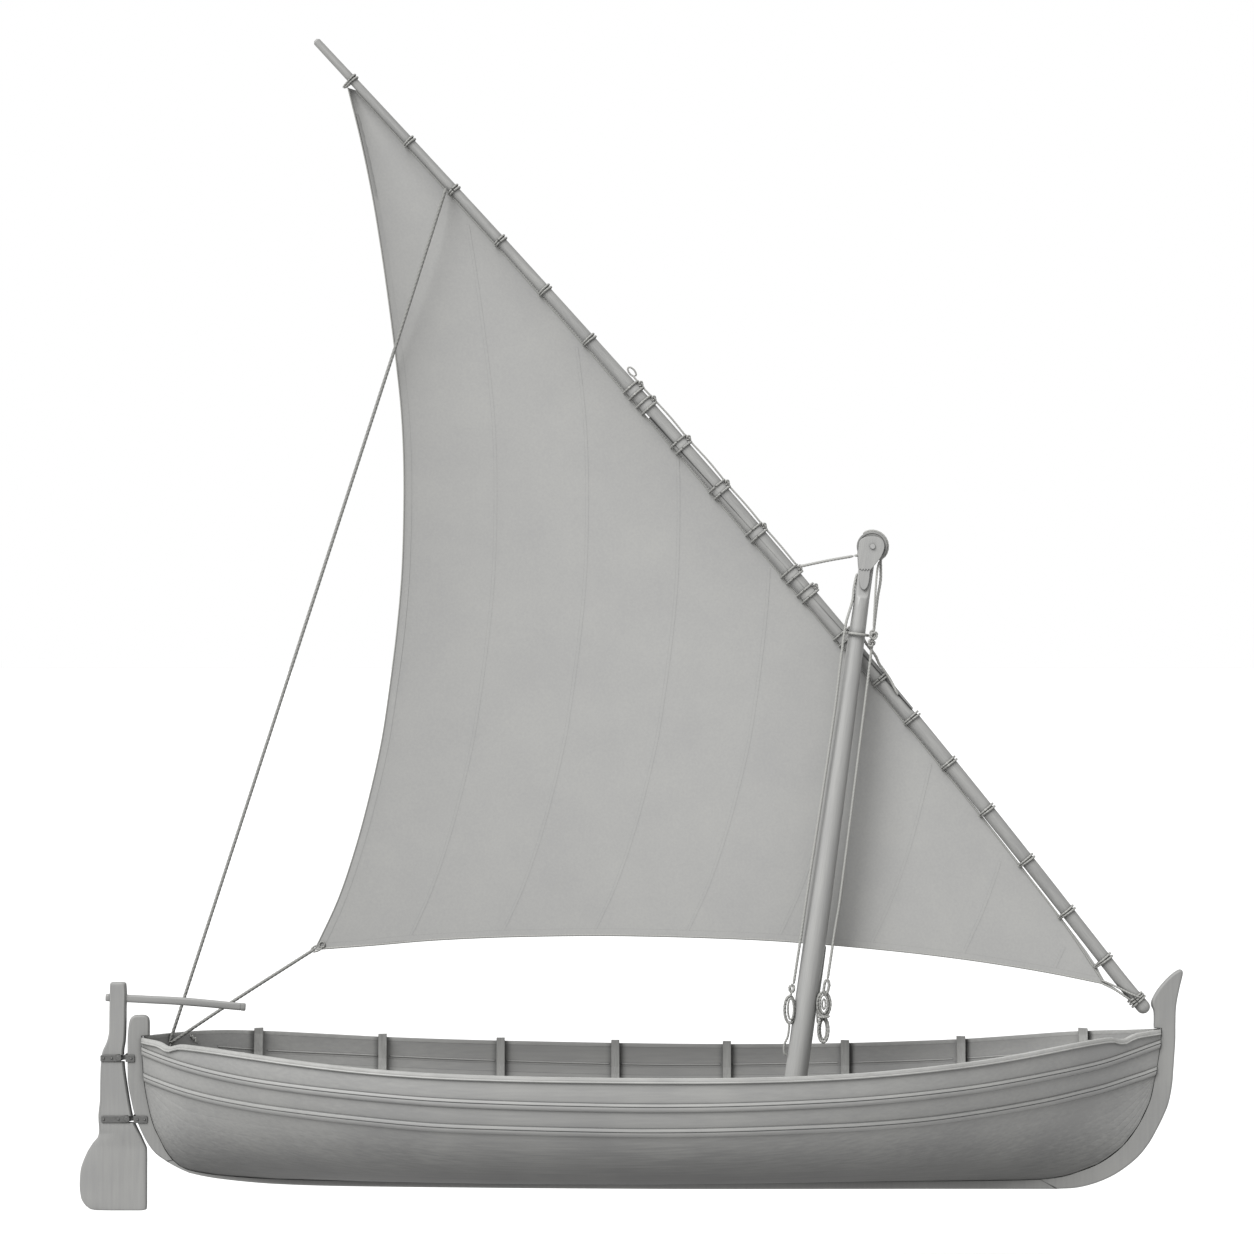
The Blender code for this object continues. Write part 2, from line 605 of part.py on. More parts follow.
# Mast
MAST_ROWS = [(MAST_FOOT_Z, 0.0805), (0.49, 0.0815), (1.70, 0.0812), (3.02, 0.0700), (3.38, 0.0640), (3.88, 0.0548)]
axis = Vector((MAST_RAKE, 0, 1)).normalized()
across = Vector((1, 0, -MAST_RAKE)).normalized()
TONGUE = 0.0347


def mast_ring(z, r, clamp=None, flat=False):
    centre = Vector((mast_x(z), 0, z))
    ring = []
    for k in range(16):
        a = 2 * math.pi * (k + 0.5) / 16
        along = Vector((1, 0, 0)) if flat else across
        y = r * math.sin(a)
        if clamp:
            y = max(-clamp, min(clamp, y))
        ring.append(centre + along * r * math.cos(a) + Vector((0, y, 0)))
    return ring


rings = [mast_ring(z, r, None, z < 0) for z, r in MAST_ROWS]
rings += [mast_ring(3.905, 0.0545, TONGUE), mast_ring(4.110, 0.0545, TONGUE), mast_ring(4.122, 0.050, TONGUE)]
loft("mast", rings, PAINT, 35)

# Masthead cheeks, pin and sheave
PIN = unproject(872, 546.5, 0)
CHEEK_VIEW = [(861, 538.3), (866, 536.6), (871.5, 536), (878, 537), (883.2, 540), (884.2, 546), (881.5, 553),
              (869.2, 572), (868.2, 582), (866.2, 588), (863.2, 590), (860.2, 587.5), (859.4, 582), (859.6, 571),
              (858.4, 558), (859.2, 545)]
for side in (1, -1):
    outline = [(unproject(u, v, 0).x, unproject(u, v, 0).z) for u, v in CHEEK_VIEW]
    inner, outer = side * 0.0350, side * 0.0600
    side_plate("cheek_" + both(side), outline, min(inner, outer), max(inner, outer), PAINT,
               [circle(PIN.x, PIN.z, 0.0131, 16)])


def lathe(name, rows, centre, mat, sides, round_angle=30):
    """Rings of (distance across, radius) round an axis that runs across the boat."""
    rings = []
    for y, r in rows:
        rings.append([(centre.x + r * math.cos(2 * math.pi * k / sides), centre.y + y,
                       centre.z + r * math.sin(2 * math.pi * k / sides)) for k in range(sides)])
    return loft(name, rings, mat, round_angle, centre)


lathe("sheave_pin", [(-0.072, 0.0125), (-0.072, 0.0185), (-0.0604, 0.0195), (-0.0604, 0.0125), (0.0604, 0.0125),
                     (0.0604, 0.0195), (0.072, 0.0185), (0.072, 0.0125)], PIN, IRON, 16)
profile = [(-0.026, 0.112), (-0.010, 0.098), (0.010, 0.098), (0.026, 0.112), (0.026, 0.0135), (-0.026, 0.0135)]
SHEAVE_SIDES = 28
verts, faces = [], []
for k in range(SHEAVE_SIDES):
    a = 2 * math.pi * k / SHEAVE_SIDES
    for y, r in profile:
        verts.append((PIN.x + r * math.cos(a), y, PIN.z + r * math.sin(a)))
m = len(profile)
for k in range(SHEAVE_SIDES):
    for j in range(m):
        a, b = k * m + j, k * m + (j + 1) % m
        c, d = ((k + 1) % SHEAVE_SIDES) * m + (j + 1) % m, ((k + 1) % SHEAVE_SIDES) * m + j
        faces.append((a, b, c, d))
solid("sheave", verts, faces, OILED, 30, PIN)

# Rudder with its head mortise and the scores for the gudgeons
rise = Vector((AXIS_UP[0] - AXIS_DOWN[0], 0, AXIS_UP[1] - AXIS_DOWN[1])).normalized()
ahead = Vector((rise.z, 0, -rise.x))
HINGE = Vector((AXIS_UP[0], 0, AXIS_UP[1]))


def axis_x(z):
    return AXIS_UP[0] + (AXIS_DOWN[0] - AXIS_UP[0]) * (z - AXIS_UP[1]) / (AXIS_DOWN[1] - AXIS_UP[1])


rings = []
for z, aft, fore, half in RUDDER:
    x = axis_x(z)
    t = RUDDER_HALF
    if z < 0.12:
        t = max(0.022, RUDDER_HALF - (0.12 - z) * 0.10)
    shift = max(min(x - 0.20, x + fore - 0.05), aft + 0.012)
    ring = [(aft, -half * 0.6, z), (aft + 0.008, -half, z), (shift, -t, z), (x + max(0.0, fore - 0.035), -t, z),
            (x + fore - 0.010, -t * 0.80, z), (x + fore, -t * 0.35, z)]
    rings.append(ring + [(px, -py, pz) for px, py, pz in reversed(ring)])
rudder = loft("rudder", rings, PAINT, None, HINGE)

TILLER = [(-3.861, 1.048), (-3.62, 1.036), (-3.30, 1.019), (-2.868, 0.979)]


def box_helper(name, place, size):
    """A cutter box in the axes of the hinge."""
    verts = [place(sx * size[0], sy * size[1], sz * size[2]) for sx in (-1, 1) for sy in (-1, 1) for sz in (-1, 1)]
    faces = [(0, 1, 3, 2), (4, 6, 7, 5), (0, 4, 5, 1), (2, 3, 7, 6), (0, 2, 6, 4), (1, 5, 7, 3)]
    return solid(name, verts, faces, PAINT)


def hinge_place(height):
    base = Vector((axis_x(height), 0, height))
    return lambda u, v, w: base + ahead * u + Vector((0, v, 0)) + rise * w


slope = (TILLER[1][1] - TILLER[0][1]) / (TILLER[1][0] - TILLER[0][0])
run = Vector((1, 0, slope)).normalized()
up = Vector((-run.z, 0, run.x))
middle = Vector((-3.80, 0, TILLER[0][1] + (-3.80 + 3.861) * slope))
boolean(rudder, box_helper("mortise_helper", lambda u, v, w: middle + run * u + Vector((0, v, 0)) + up * w,
                           (0.12, 0.0205, 0.0305)), "DIFFERENCE")
for index, height in enumerate(STRAP_Z):
    place = hinge_place(height)
    boolean(rudder, box_helper("score_helper_%d" % index,
                               lambda u, v, w, p=place: p(u + 0.014, v, w + 0.0015), (0.046, 0.05, 0.0318)),
            "DIFFERENCE")

# Tiller
rings = []
for (x, z), half_y, half_z in zip(TILLER, (0.020, 0.020, 0.022, 0.020), (0.027, 0.028, 0.028, 0.027)):
    corners = [(-1, -0.6), (-0.6, -1), (0.6, -1), (1, -0.6), (1, 0.6), (0.6, 1), (-0.6, 1), (-1, 0.6)]
    rings.append([Vector((x, 0, z)) + Vector((0, half_y * a, 0)) + up * half_z * b for a, b in corners])
loft("tiller", rings, OILED, None, HINGE)

# Pintles on the rudder and gudgeons on the sternpost
for index, height in enumerate(STRAP_Z):
    place = hinge_place(height)
    name = ("upper", "lower")[index]
    length = STRAP_AFT[index]
    half = RUDDER_HALF + 0.0004
    fork = [(-length, half), (0.002, half), (0.002, half + 0.006), (-length, half + 0.006)]
    pintle = plate("pintle_" + name, fork, place, (-0.025, 0.0300), IRON, (), HINGE)
    arm = plate("arm_helper_" + name, [(u, -v) for u, v in fork], place, (-0.025, 0.0300), IRON)
    bridge = plate("bridge_helper_" + name, [(-0.0312, -half - 0.003), (0.0015, -half - 0.003), (0.0015, half + 0.003),
                                             (-0.0312, half + 0.003)], place, (0.0240, 0.0295), IRON)
    pin = plate("pin_helper_" + name, circle(0.0, 0.0, 0.010, 16), place, (-0.024, 0.0270), IRON)
    nose = plate("nose_helper_" + name, [(-0.012, -0.02), (0.008, -0.02), (0.0105, -0.008), (0.0105, 0.008),
                                         (0.008, 0.02), (-0.012, 0.02)], place, (0.0238, 0.0297), IRON)
    for part in (arm, bridge, pin, nose):
        boolean(pintle, part, "UNION")
    web0, web1 = 0.0470, 0.0555 if index == 0 else 0.0575
    reach = STRAP_FORE[index] + 0.045
    w = POST_HALF + 0.0004
    fork = [(web0, -w - 0.006), (reach, -w - 0.006), (reach, -w), (web1, -w), (web1, w), (reach, w),
            (reach, w + 0.006), (web0, w + 0.006)]
    gudgeon = plate("gudgeon_" + name, fork, place, (-0.025, 0.025), IRON)
    ring = plate("ring_helper_" + name, circle(0.0, 0.0, 0.022, 20), place, (-0.018, 0.018), IRON,
                 [circle(0.0, 0.0, 0.0108, 16)])
    neck = plate("neck_helper_" + name, [(0.017, -0.010), (0.050, -0.010), (0.050, 0.010), (0.017, 0.010)], place,
                 (-0.0175, 0.0175), IRON)
    boolean(gudgeon, ring, "UNION")
    boolean(gudgeon, neck, "UNION")

# Yard: two spars scarfed and lashed
chord = Vector((YARD_B[0] - YARD_A[0], YARD_B[1] - YARD_A[1]))
chord.normalize()
normal = Vector((chord.y, -chord.x))
MAST_FOOT = Vector((mast_x(0.0), 0, 0.0))


def yard_y(x):
    return YARD_Y + (YARD_X - x) * math.tan(YARD_SLEW)


def on_yard(s, offset, aside=0.0):
    """A point by its distance along the chord and its rise above it, on the yard's own plane."""
    px = YARD_A[0] + chord.x * s + normal.x * offset
    py = YARD_A[1] + chord.y * s + normal.y * offset
    y = 0.2
    for _ in range(6):
        y = yard_y(unproject(px, py, y).x)
    return unproject(px, py, y + aside)


def yard_centre(s):
    return on_yard(s, smooth(YARD, 1, s))


def yard_radius(s):
    return smooth(YARD, 2, s) * VIEW_SCALE / 2


def yard_ring(s, sides, low=-1.0, high=1.0):
    """A ring of the yard, kept between two heights across it, as shares of its radius."""
    here = yard_centre(s)
    along = (yard_centre(min(s + 5, 1276)) - yard_centre(max(s - 5, 0))).normalized()
    level = along.cross(Vector((0, 0, 1))).normalized()
    top = level.cross(along).normalized()
    r = yard_radius(s)
    ring = []
    for k in range(sides):
        a = 2 * math.pi * (k + 0.5) / sides
        v = max(low, min(high, math.sin(a)))
        ring.append(here + level * r * math.cos(a) + top * r * v)
    return ring


def scarf_cut(s):
    t = min(max((s - SCARF[0]) / (SCARF[1] - SCARF[0]), 0.0), 1.0)
    return -0.80 + 1.60 * t


rings = [yard_ring(s, 12) for s in (0, 12, 60, 120, 180, 240, 300, 360, 420, 460, 496)]
rings[0] = [yard_centre(0) + (p - yard_centre(0)) * 0.7 for p in rings[0]]
rings += [yard_ring(s, 12, scarf_cut(s) + 0.006) for s in (500, 550, 600, 650, 700, 750, 800, 850, 896)]
loft("yard_upper", rings, OILED, 40, MAST_FOOT)
rings = [yard_ring(s, 12, -1.0, scarf_cut(s) - 0.006) for s in (504, 550, 600, 650, 700, 750, 800, 850, 900)]
rings += [yard_ring(s, 12) for s in (904, 950, 1000, 1050, 1100, 1140, 1180, 1220, 1255, 1276)]
loft("yard_lower", rings, OILED, 40, MAST_FOOT)


# Sail: a thin closed sheet from leech to luff
def along_line(points, t):
    line = np.array(points, float)
    gone = np.concatenate([[0], np.cumsum(np.hypot(*np.diff(line, axis=0).T))])
    return np.array([np.interp(t * gone[-1], gone, line[:, k]) for k in (0, 1)])


def luff_point(t):
    s = 62 + (1226 - 62) * t
    gap = 0.15 + 2.6 * max(0.0, (t - 0.80) / 0.20)
    offset = smooth(YARD, 1, s) - smooth(YARD, 2, s) / 2 * math.cos(math.radians(15)) - gap
    return np.array((YARD_A[0] + chord.x * s + normal.x * offset, YARD_A[1] + chord.y * s + normal.y * offset))


SAIL_ROWS, SAIL_COLUMNS, SAIL_HALF, BELLY = 12, 10, 0.003, 0.16


def sail_point(r, c, aside):
    left = along_line(LEECH, r)
    right = luff_point(r)
    straight = left + (right - left) * c
    foot = along_line(FOOT, c) - (np.array(FOOT[0], float) + (np.array(FOOT[-1], float) - np.array(FOOT[0], float)) * c)
    spot = straight + foot * r ** 3
    px, py = spot
    y = 0.2
    for _ in range(6):
        y = yard_y(unproject(px, py, y).x)
    full = math.sin(math.pi * min(c, 1.0)) ** 0.8 * math.sin(math.pi * (0.08 + 0.80 * r)) * BELLY
    return unproject(px, py, y + full + aside)


def sail_t(i):
    return 0.012 + (1 - 0.012) * i / SAIL_ROWS


front = [[sail_point(sail_t(i), j / SAIL_COLUMNS, -SAIL_HALF) for j in range(SAIL_COLUMNS + 1)]
         for i in range(SAIL_ROWS + 1)]
back = [[p + Vector((0, 2 * SAIL_HALF, 0)) for p in row] for row in front]
loft("sail", [f + b[::-1] for f, b in zip(front, back)], CANVAS, 40, MAST_FOOT)

# Halyard tie, parrel, halyard fall and aft line
def yard_skin(s, degrees, clear):
    """A point off the yard's skin: 0 degrees is towards the mast, 90 degrees is up."""
    here = yard_centre(s)
    along = (yard_centre(s + 5) - yard_centre(s - 5)).normalized()
    level = along.cross(Vector((0, 0, 1))).normalized()
    if level.y > 0:
        level = -level
    top = along.cross(level).normalized()
    if top.z < 0:
        top = -top
    r = yard_radius(s) * math.cos(math.radians(15)) + clear
    return here + level * r * math.cos(math.radians(degrees)) + top * r * math.sin(math.radians(degrees))


def off_mast(z, degrees, clear):
    """A point off the mast's skin: 0 degrees is ahead, 90 degrees is to port."""
    r = float(np.interp(z, [row[0] for row in MAST_ROWS], [row[1] for row in MAST_ROWS])) * 0.985 + clear
    a = math.radians(degrees)
    return Vector((mast_x(z), 0, z)) + across * r * math.cos(a) + Vector((0, r * math.sin(a), 0))


SIT = ROPE + 0.0012
tie = [unproject(853.4, 556.0, 0.024), unproject(828, 560.5, 0.07), yard_skin(713, 90, 0.0062)]
tube("halyard_tie", tie, ROPE, CORDAGE, 6, MAST_FOOT)

PARREL_Z = unproject(857, 634, 0).z
parrel_r = 0.078
centre = Vector((mast_x(PARREL_Z), 0, PARREL_Z))
path = []
for deg in (150, 180, 210, 240, 270, 300, 330, 360, 385, 405):
    a = math.radians(deg)
    path.append(centre + across * parrel_r * math.cos(a) + Vector((0, parrel_r * math.sin(a), 0)))
path[0] = path[0] + Vector((-0.01, 0.0, 0.0))
path += [centre + across * 0.050 + Vector((0.004, 0.068, -0.035)), yard_skin(832, 72, SIT + 0.022),
         yard_skin(840, 70, SIT + 0.006), yard_skin(850, 64, SIT + 0.005), yard_skin(860, 52, SIT + 0.006),
         yard_skin(868, 38, SIT + 0.0062), yard_skin(876, 28, SIT + 0.0022)]
tube("parrel", path, ROPE, CORDAGE, 6, MAST_FOOT)

GROOVE = 0.098 + SIT + 0.0006
fall = [PIN + Vector((GROOVE * math.cos(math.radians(a)), 0, GROOVE * math.sin(math.radians(a))))
        for a in (125, 105, 85, 65, 45, 25, 5, -15)]
fall += [unproject(u, v, y) for u, v, y in ((883.5, 570, -0.004), (879, 598, -0.016), (873.5, 635, -0.028),
                                            (864.5, 720, -0.034), (840.5, 900, -0.018), (829, 970, -0.004))]
fall += [off_mast(1.045, 0, SIT)]
tube("halyard_fall", fall, ROPE, CORDAGE, 6)
aft = [off_mast(3.99, 180, SIT), off_mast(3.86, 195, SIT), unproject(845.5, 626, -0.07), unproject(834, 720, -0.075),
       unproject(806, 900, -0.070), unproject(797, 950, -0.050), off_mast(0.99, 190, SIT), off_mast(0.74, 180, SIT),
       off_mast(0.655, 180, SIT)]
tube("aft_line", aft, ROPE, CORDAGE, 6)
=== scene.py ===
"""How the llaut looks: painted hull, spars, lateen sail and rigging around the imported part.

Metres, bow +X, port +Y.
"""

import bisect
import functools
import math

import bmesh
import bpy
import numpy as np
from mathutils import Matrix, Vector


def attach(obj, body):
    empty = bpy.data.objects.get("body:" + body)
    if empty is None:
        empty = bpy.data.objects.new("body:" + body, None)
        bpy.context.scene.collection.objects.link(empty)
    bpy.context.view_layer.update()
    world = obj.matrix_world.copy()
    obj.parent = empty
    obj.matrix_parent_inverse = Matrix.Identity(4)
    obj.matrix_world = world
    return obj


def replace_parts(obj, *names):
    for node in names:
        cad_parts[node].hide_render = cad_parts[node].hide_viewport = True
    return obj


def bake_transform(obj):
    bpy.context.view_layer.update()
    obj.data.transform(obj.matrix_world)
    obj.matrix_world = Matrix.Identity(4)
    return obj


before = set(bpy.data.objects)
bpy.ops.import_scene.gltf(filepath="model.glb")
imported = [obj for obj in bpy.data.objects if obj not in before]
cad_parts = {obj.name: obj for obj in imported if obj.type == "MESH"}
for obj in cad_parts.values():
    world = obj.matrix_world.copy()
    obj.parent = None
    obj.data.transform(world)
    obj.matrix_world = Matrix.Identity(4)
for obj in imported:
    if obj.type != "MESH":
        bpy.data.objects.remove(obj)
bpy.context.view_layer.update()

# Sizes shared with the solid part
PLANK = 0.025
RUDDER_HALF = 0.035
CAP_THICK = 0.028
WALE_DEEP = 0.060
SEAM = 0.0005
GARBOARD_LIFT = 0.0008
POST_HALF = 0.036
MAST_RAKE, MAST_X, MAST_Z = 0.138, 1.040, 0.490
YARD_Y, YARD_X, YARD_SLEW = 0.140, 1.500, math.radians(5.0)
ROPE = 0.011

# The turned spars lie this far inside the solid ones
SPAR_SHARE = 0.985
# Planking and rail stop this far short of the rabbet
RABBET_GAP = 0.0008
# Three-strand rope: length of one turn of the strands in radii, and depth between them as a share of
# the radius
LAY, HOLLOW = 7.2, 0.20

# Hull lines: station, half breadth, rail top, upper wale top, lower wale top, section fullness p and q
HULL = np.array([
    (-3.62, 0.030, 0.768, 0.709, 0.526, 1.30, 1.00),
    (-3.55, 0.165, 0.767, 0.698, 0.511, 1.32, 1.00),
    (-3.45, 0.315, 0.766, 0.679, 0.492, 1.38, 0.98),
    (-3.30, 0.480, 0.765, 0.648, 0.461, 1.50, 0.94),
    (-3.10, 0.640, 0.758, 0.612, 0.426, 1.65, 0.88),
    (-2.80, 0.822, 0.734, 0.570, 0.389, 1.85, 0.80),
    (-2.40, 1.000, 0.697, 0.533, 0.356, 2.15, 0.70),
    (-2.00, 1.120, 0.664, 0.503, 0.327, 2.45, 0.62),
    (-1.50, 1.210, 0.636, 0.471, 0.293, 2.75, 0.55),
    (-1.00, 1.240, 0.620, 0.451, 0.277, 2.95, 0.51),
    (-0.50, 1.237, 0.610, 0.437, 0.264, 3.05, 0.50),
    (0.00, 1.222, 0.603, 0.428, 0.255, 3.05, 0.50),
    (0.50, 1.196, 0.601, 0.430, 0.258, 2.95, 0.51),
    (1.00, 1.145, 0.607, 0.441, 0.268, 2.75, 0.54),
    (1.50, 1.050, 0.624, 0.459, 0.279, 2.50, 0.60),
    (1.90, 0.930, 0.648, 0.483, 0.297, 2.25, 0.67),
    (2.30, 0.775, 0.680, 0.516, 0.332, 2.00, 0.75),
    (2.60, 0.635, 0.714, 0.551, 0.365, 1.80, 0.83),
    (2.80, 0.527, 0.740, 0.576, 0.390, 1.68, 0.88),
    (3.00, 0.412, 0.766, 0.603, 0.422, 1.55, 0.93),
    (3.20, 0.290, 0.787, 0.636, 0.457, 1.45, 0.97),
    (3.40, 0.170, 0.803, 0.688, 0.507, 1.36, 1.00),
    (3.50, 0.110, 0.812, 0.717, 0.532, 1.32, 1.00),
    (3.64, 0.030, 0.826, 0.756, 0.575, 1.30, 1.00),
])
BREADTH, RAIL, WALE_UP, WALE_LOW, FULL_P, FULL_Q = range(1, 7)

# The rabbet where planking meets sternpost, keel and stem, in profile
RABBET_STERN = [(-3.600, 0.734), (-3.599, 0.650), (-3.590, 0.510), (-3.574, 0.380), (-3.556, 0.290),
                (-3.536, 0.202), (-3.507, 0.115), (-3.472, 0.046), (-3.432, -0.035), (-3.383, -0.103)]
RABBET_KEEL = [(-3.381, -0.1045), (-3.320, -0.152), (-3.245, -0.180), (-3.047, -0.210), (-2.649, -0.236),
               (-2.000, -0.250), (0.000, -0.256), (2.000, -0.250), (2.600, -0.245), (2.770, -0.240)]
RABBET_STEM = [(2.7705, -0.2398), (2.910, -0.224), (3.004, -0.200), (3.195, -0.125), (3.351, -0.010),
               (3.465, 0.138), (3.550, 0.316), (3.585, 0.479), (3.611, 0.621), (3.628, 0.760)]
RABBET = np.array(RABBET_STERN + RABBET_KEEL[1:] + RABBET_STEM[1:])
DIPS = [(-3.372, 0.030, 0.055), (3.340, 0.030, 0.060)]

# Rudder from foot to head: height, aft edge, fore edge ahead of the hinge axis, half thickness aft
RUDDER = np.array([
    (-0.463, -3.940, 0.036, 0.010), (-0.455, -3.968, 0.052, 0.010), (-0.430, -4.003, 0.058, 0.010),
    (-0.373, -4.036, 0.066, 0.010), (-0.284, -4.046, 0.078, 0.011), (-0.185, -4.040, 0.091, 0.013),
    (-0.057, -3.996, 0.108, 0.016), (-0.020, -3.975, 0.111, 0.017), (0.021, -3.948, 0.099, 0.018),
    (0.064, -3.914, 0.086, 0.020), (0.106, -3.908, 0.070, 0.023), (0.200, -3.913, 0.043, 0.026),
    (0.326, -3.902, 0.035, 0.030), (0.525, -3.898, 0.031, 0.030), (0.653, -3.886, 0.038, 0.032),
    (0.745, -3.849, 0.062, 0.032), (0.816, -3.836, 0.075, 0.032), (0.960, -3.834, 0.096, 0.032),
    (1.140, -3.830, 0.118, 0.030), (1.156, -3.812, 0.106, 0.022),
])

# Yard along its chord in the side view: distance, rise above the chord, diameter, all in view pixels
YARD_A, YARD_B = (316.0, 40.0), (1147.0, 1008.0)
YARD = np.array([
    (0, -0.5, 8.0), (100, 3.3, 9.2), (200, 6.8, 10.0), (300, 9.8, 10.8), (400, 11.8, 12.2),
    (500, 12.9, 14.4), (600, 13.3, 15.2), (700, 12.9, 15.6), (800, 12.0, 15.6), (900, 10.5, 15.2),
    (1000, 8.2, 14.4), (1100, 4.6, 13.9), (1180, 1.0, 13.7), (1255, -2.0, 13.6), (1276, -2.2, 14.3),
])
SCARF = (500.0, 900.0)
LEECH = [(347.5, 86), (366, 163), (380, 241), (394, 343), (402, 420), (404, 500), (400, 600), (383.5, 730),
         (371, 790), (355, 850), (338, 900), (322, 936), (315.5, 948.5)]
FOOT = [(315.5, 948.5), (350, 946.6), (400, 941.6), (450, 938.6), (500, 936.4), (600, 935.0), (700, 937.2),
        (780, 940.9), (860, 947.5), (930, 955.0), (990, 963.2), (1050, 973.3), (1105, 984.5)]

# The side view: its side in pixels, metres a pixel, and the eye's distance, height and station
VIEW_SIDE, VIEW_SCALE, VIEW_FAR, VIEW_HIGH, VIEW_X = 1254, 0.0071, 30.175, 3.6778, -0.15975
VIEW_MID = VIEW_SIDE / 2


def curve_of(table, column, held=False):
    """The stations, values and slopes of one column of a table. A held curve doesn't swing past its rows."""
    xs, ys = table[:, 0], table[:, column]
    slopes = np.gradient(ys, xs)
    if held:
        steps = np.diff(ys) / np.diff(xs)
        for i in range(1, len(xs) - 1):
            a, b = steps[i - 1], steps[i]
            slopes[i] = 2 * a * b / (a + b) if a * b > 0 else 0.0
    return list(map(float, xs)), list(map(float, ys)), list(map(float, slopes))


CURVES = {
    "hull": [None] + [curve_of(HULL, column) for column in range(1, 7)],
    "yard": [None] + [curve_of(YARD, column, True) for column in (1, 2)],
    "rudder": [None] + [curve_of(RUDDER, column, True) for column in (1, 2, 3)],
}


@functools.lru_cache(maxsize=None)
def smooth(table, column, x):
    """A value between the rows of a named table, by a curve through them."""
    xs, ys, slopes = CURVES[table][column]
    i = min(max(bisect.bisect_left(xs, x) - 1, 0), len(xs) - 2)
    h = xs[i + 1] - xs[i]
    t = min(max((x - xs[i]) / h, 0.0), 1.0)
    a = (1 + 2 * t) * (1 - t) ** 2 * ys[i] + t * t * (3 - 2 * t) * ys[i + 1]
    return a + h * (t * (1 - t) ** 2 * slopes[i] - t * t * (1 - t) * slopes[i + 1])


def unproject(px, py, y):
    """A point of the side view at distance y to port of the centre plane."""
    far = VIEW_SCALE * (1 + y / VIEW_FAR)
    return Vector(((px - VIEW_MID) * far + VIEW_X, y, VIEW_HIGH - (py - VIEW_MID) * far))


# Finishes
def grey(code):
    """A colour from its screen code, as the renderer's linear values."""
    parts = [int(code[i:i + 2], 16) / 255 for i in (1, 3, 5)]
    return tuple(c / 12.92 if c <= 0.04045 else ((c + 0.055) / 1.055) ** 2.4 for c in parts) + (1.0,)


def flat_grey(value):
    """One linear value on all three channels, to darken by."""
    return (value, value, value, 1.0)


def add(tree, kind, sockets=None, **settings):
    """One shader node with its settings. A socket takes a plain value, or the socket that feeds it."""
    node = tree.nodes.new(kind)
    for key, value in settings.items():
        setattr(node, key, value)
    for key, value in (sockets or {}).items():
        if isinstance(value, bpy.types.NodeSocket):
            tree.links.new(value, node.inputs[key])
        else:
            node.inputs[key].default_value = value
    return node


def finish(name, base, rough, metallic=0.0):
    """An empty finish: its tree and its shader."""
    mat = bpy.data.materials.new(name)
    mat.use_nodes = True
    tree = mat.node_tree
    shader = tree.nodes["Principled BSDF"]
    shader.inputs["Base Color"].default_value = base
    shader.inputs["Roughness"].default_value = rough
    shader.inputs["Metallic"].default_value = metallic
    shader.inputs["IOR"].default_value = 1.45
    return mat, tree, shader


def shade_corners_and_edges(tree, shader, colour, corners, reach, edges, rounding):
    """The finish's colour with painted shade: darker in corners and seams, where shade falls, and a painted
    dark line along edges.
    """
    # Painted shade: darker where ambient occlusion finds a corner or seam
    near = add(tree, "ShaderNodeAmbientOcclusion", {"Distance": reach}, samples=6)
    corner = add(tree, "ShaderNodeMapRange", {"Value": near.outputs["AO"], "From Min": 0.92,
                                              "From Max": 0.30})
    seams = add(tree, "ShaderNodeMix", {"Factor": corner.outputs["Result"], "A": colour,
                                        "B": flat_grey(corners)}, data_type="RGBA", blend_type="MULTIPLY")
    # Painted shade: a dark line along every edge, where the rounded normal turns away from the face's
    soft = add(tree, "ShaderNodeBevel", {"Radius": rounding}, samples=4)
    face = add(tree, "ShaderNodeNewGeometry")
    same = add(tree, "ShaderNodeVectorMath", {0: soft.outputs["Normal"], 1: face.outputs["Normal"]},
               operation="DOT_PRODUCT")
    edge = add(tree, "ShaderNodeMapRange", {"Value": same.outputs["Value"], "From Min": 0.985,
                                            "From Max": 0.88})
    shaded_edges = add(tree, "ShaderNodeMix", {"Factor": edge.outputs["Result"], "A": seams.outputs["Result"],
                                       "B": flat_grey(edges)}, data_type="RGBA", blend_type="MULTIPLY")
    tree.links.new(shaded_edges.outputs["Result"], shader.inputs["Base Color"])


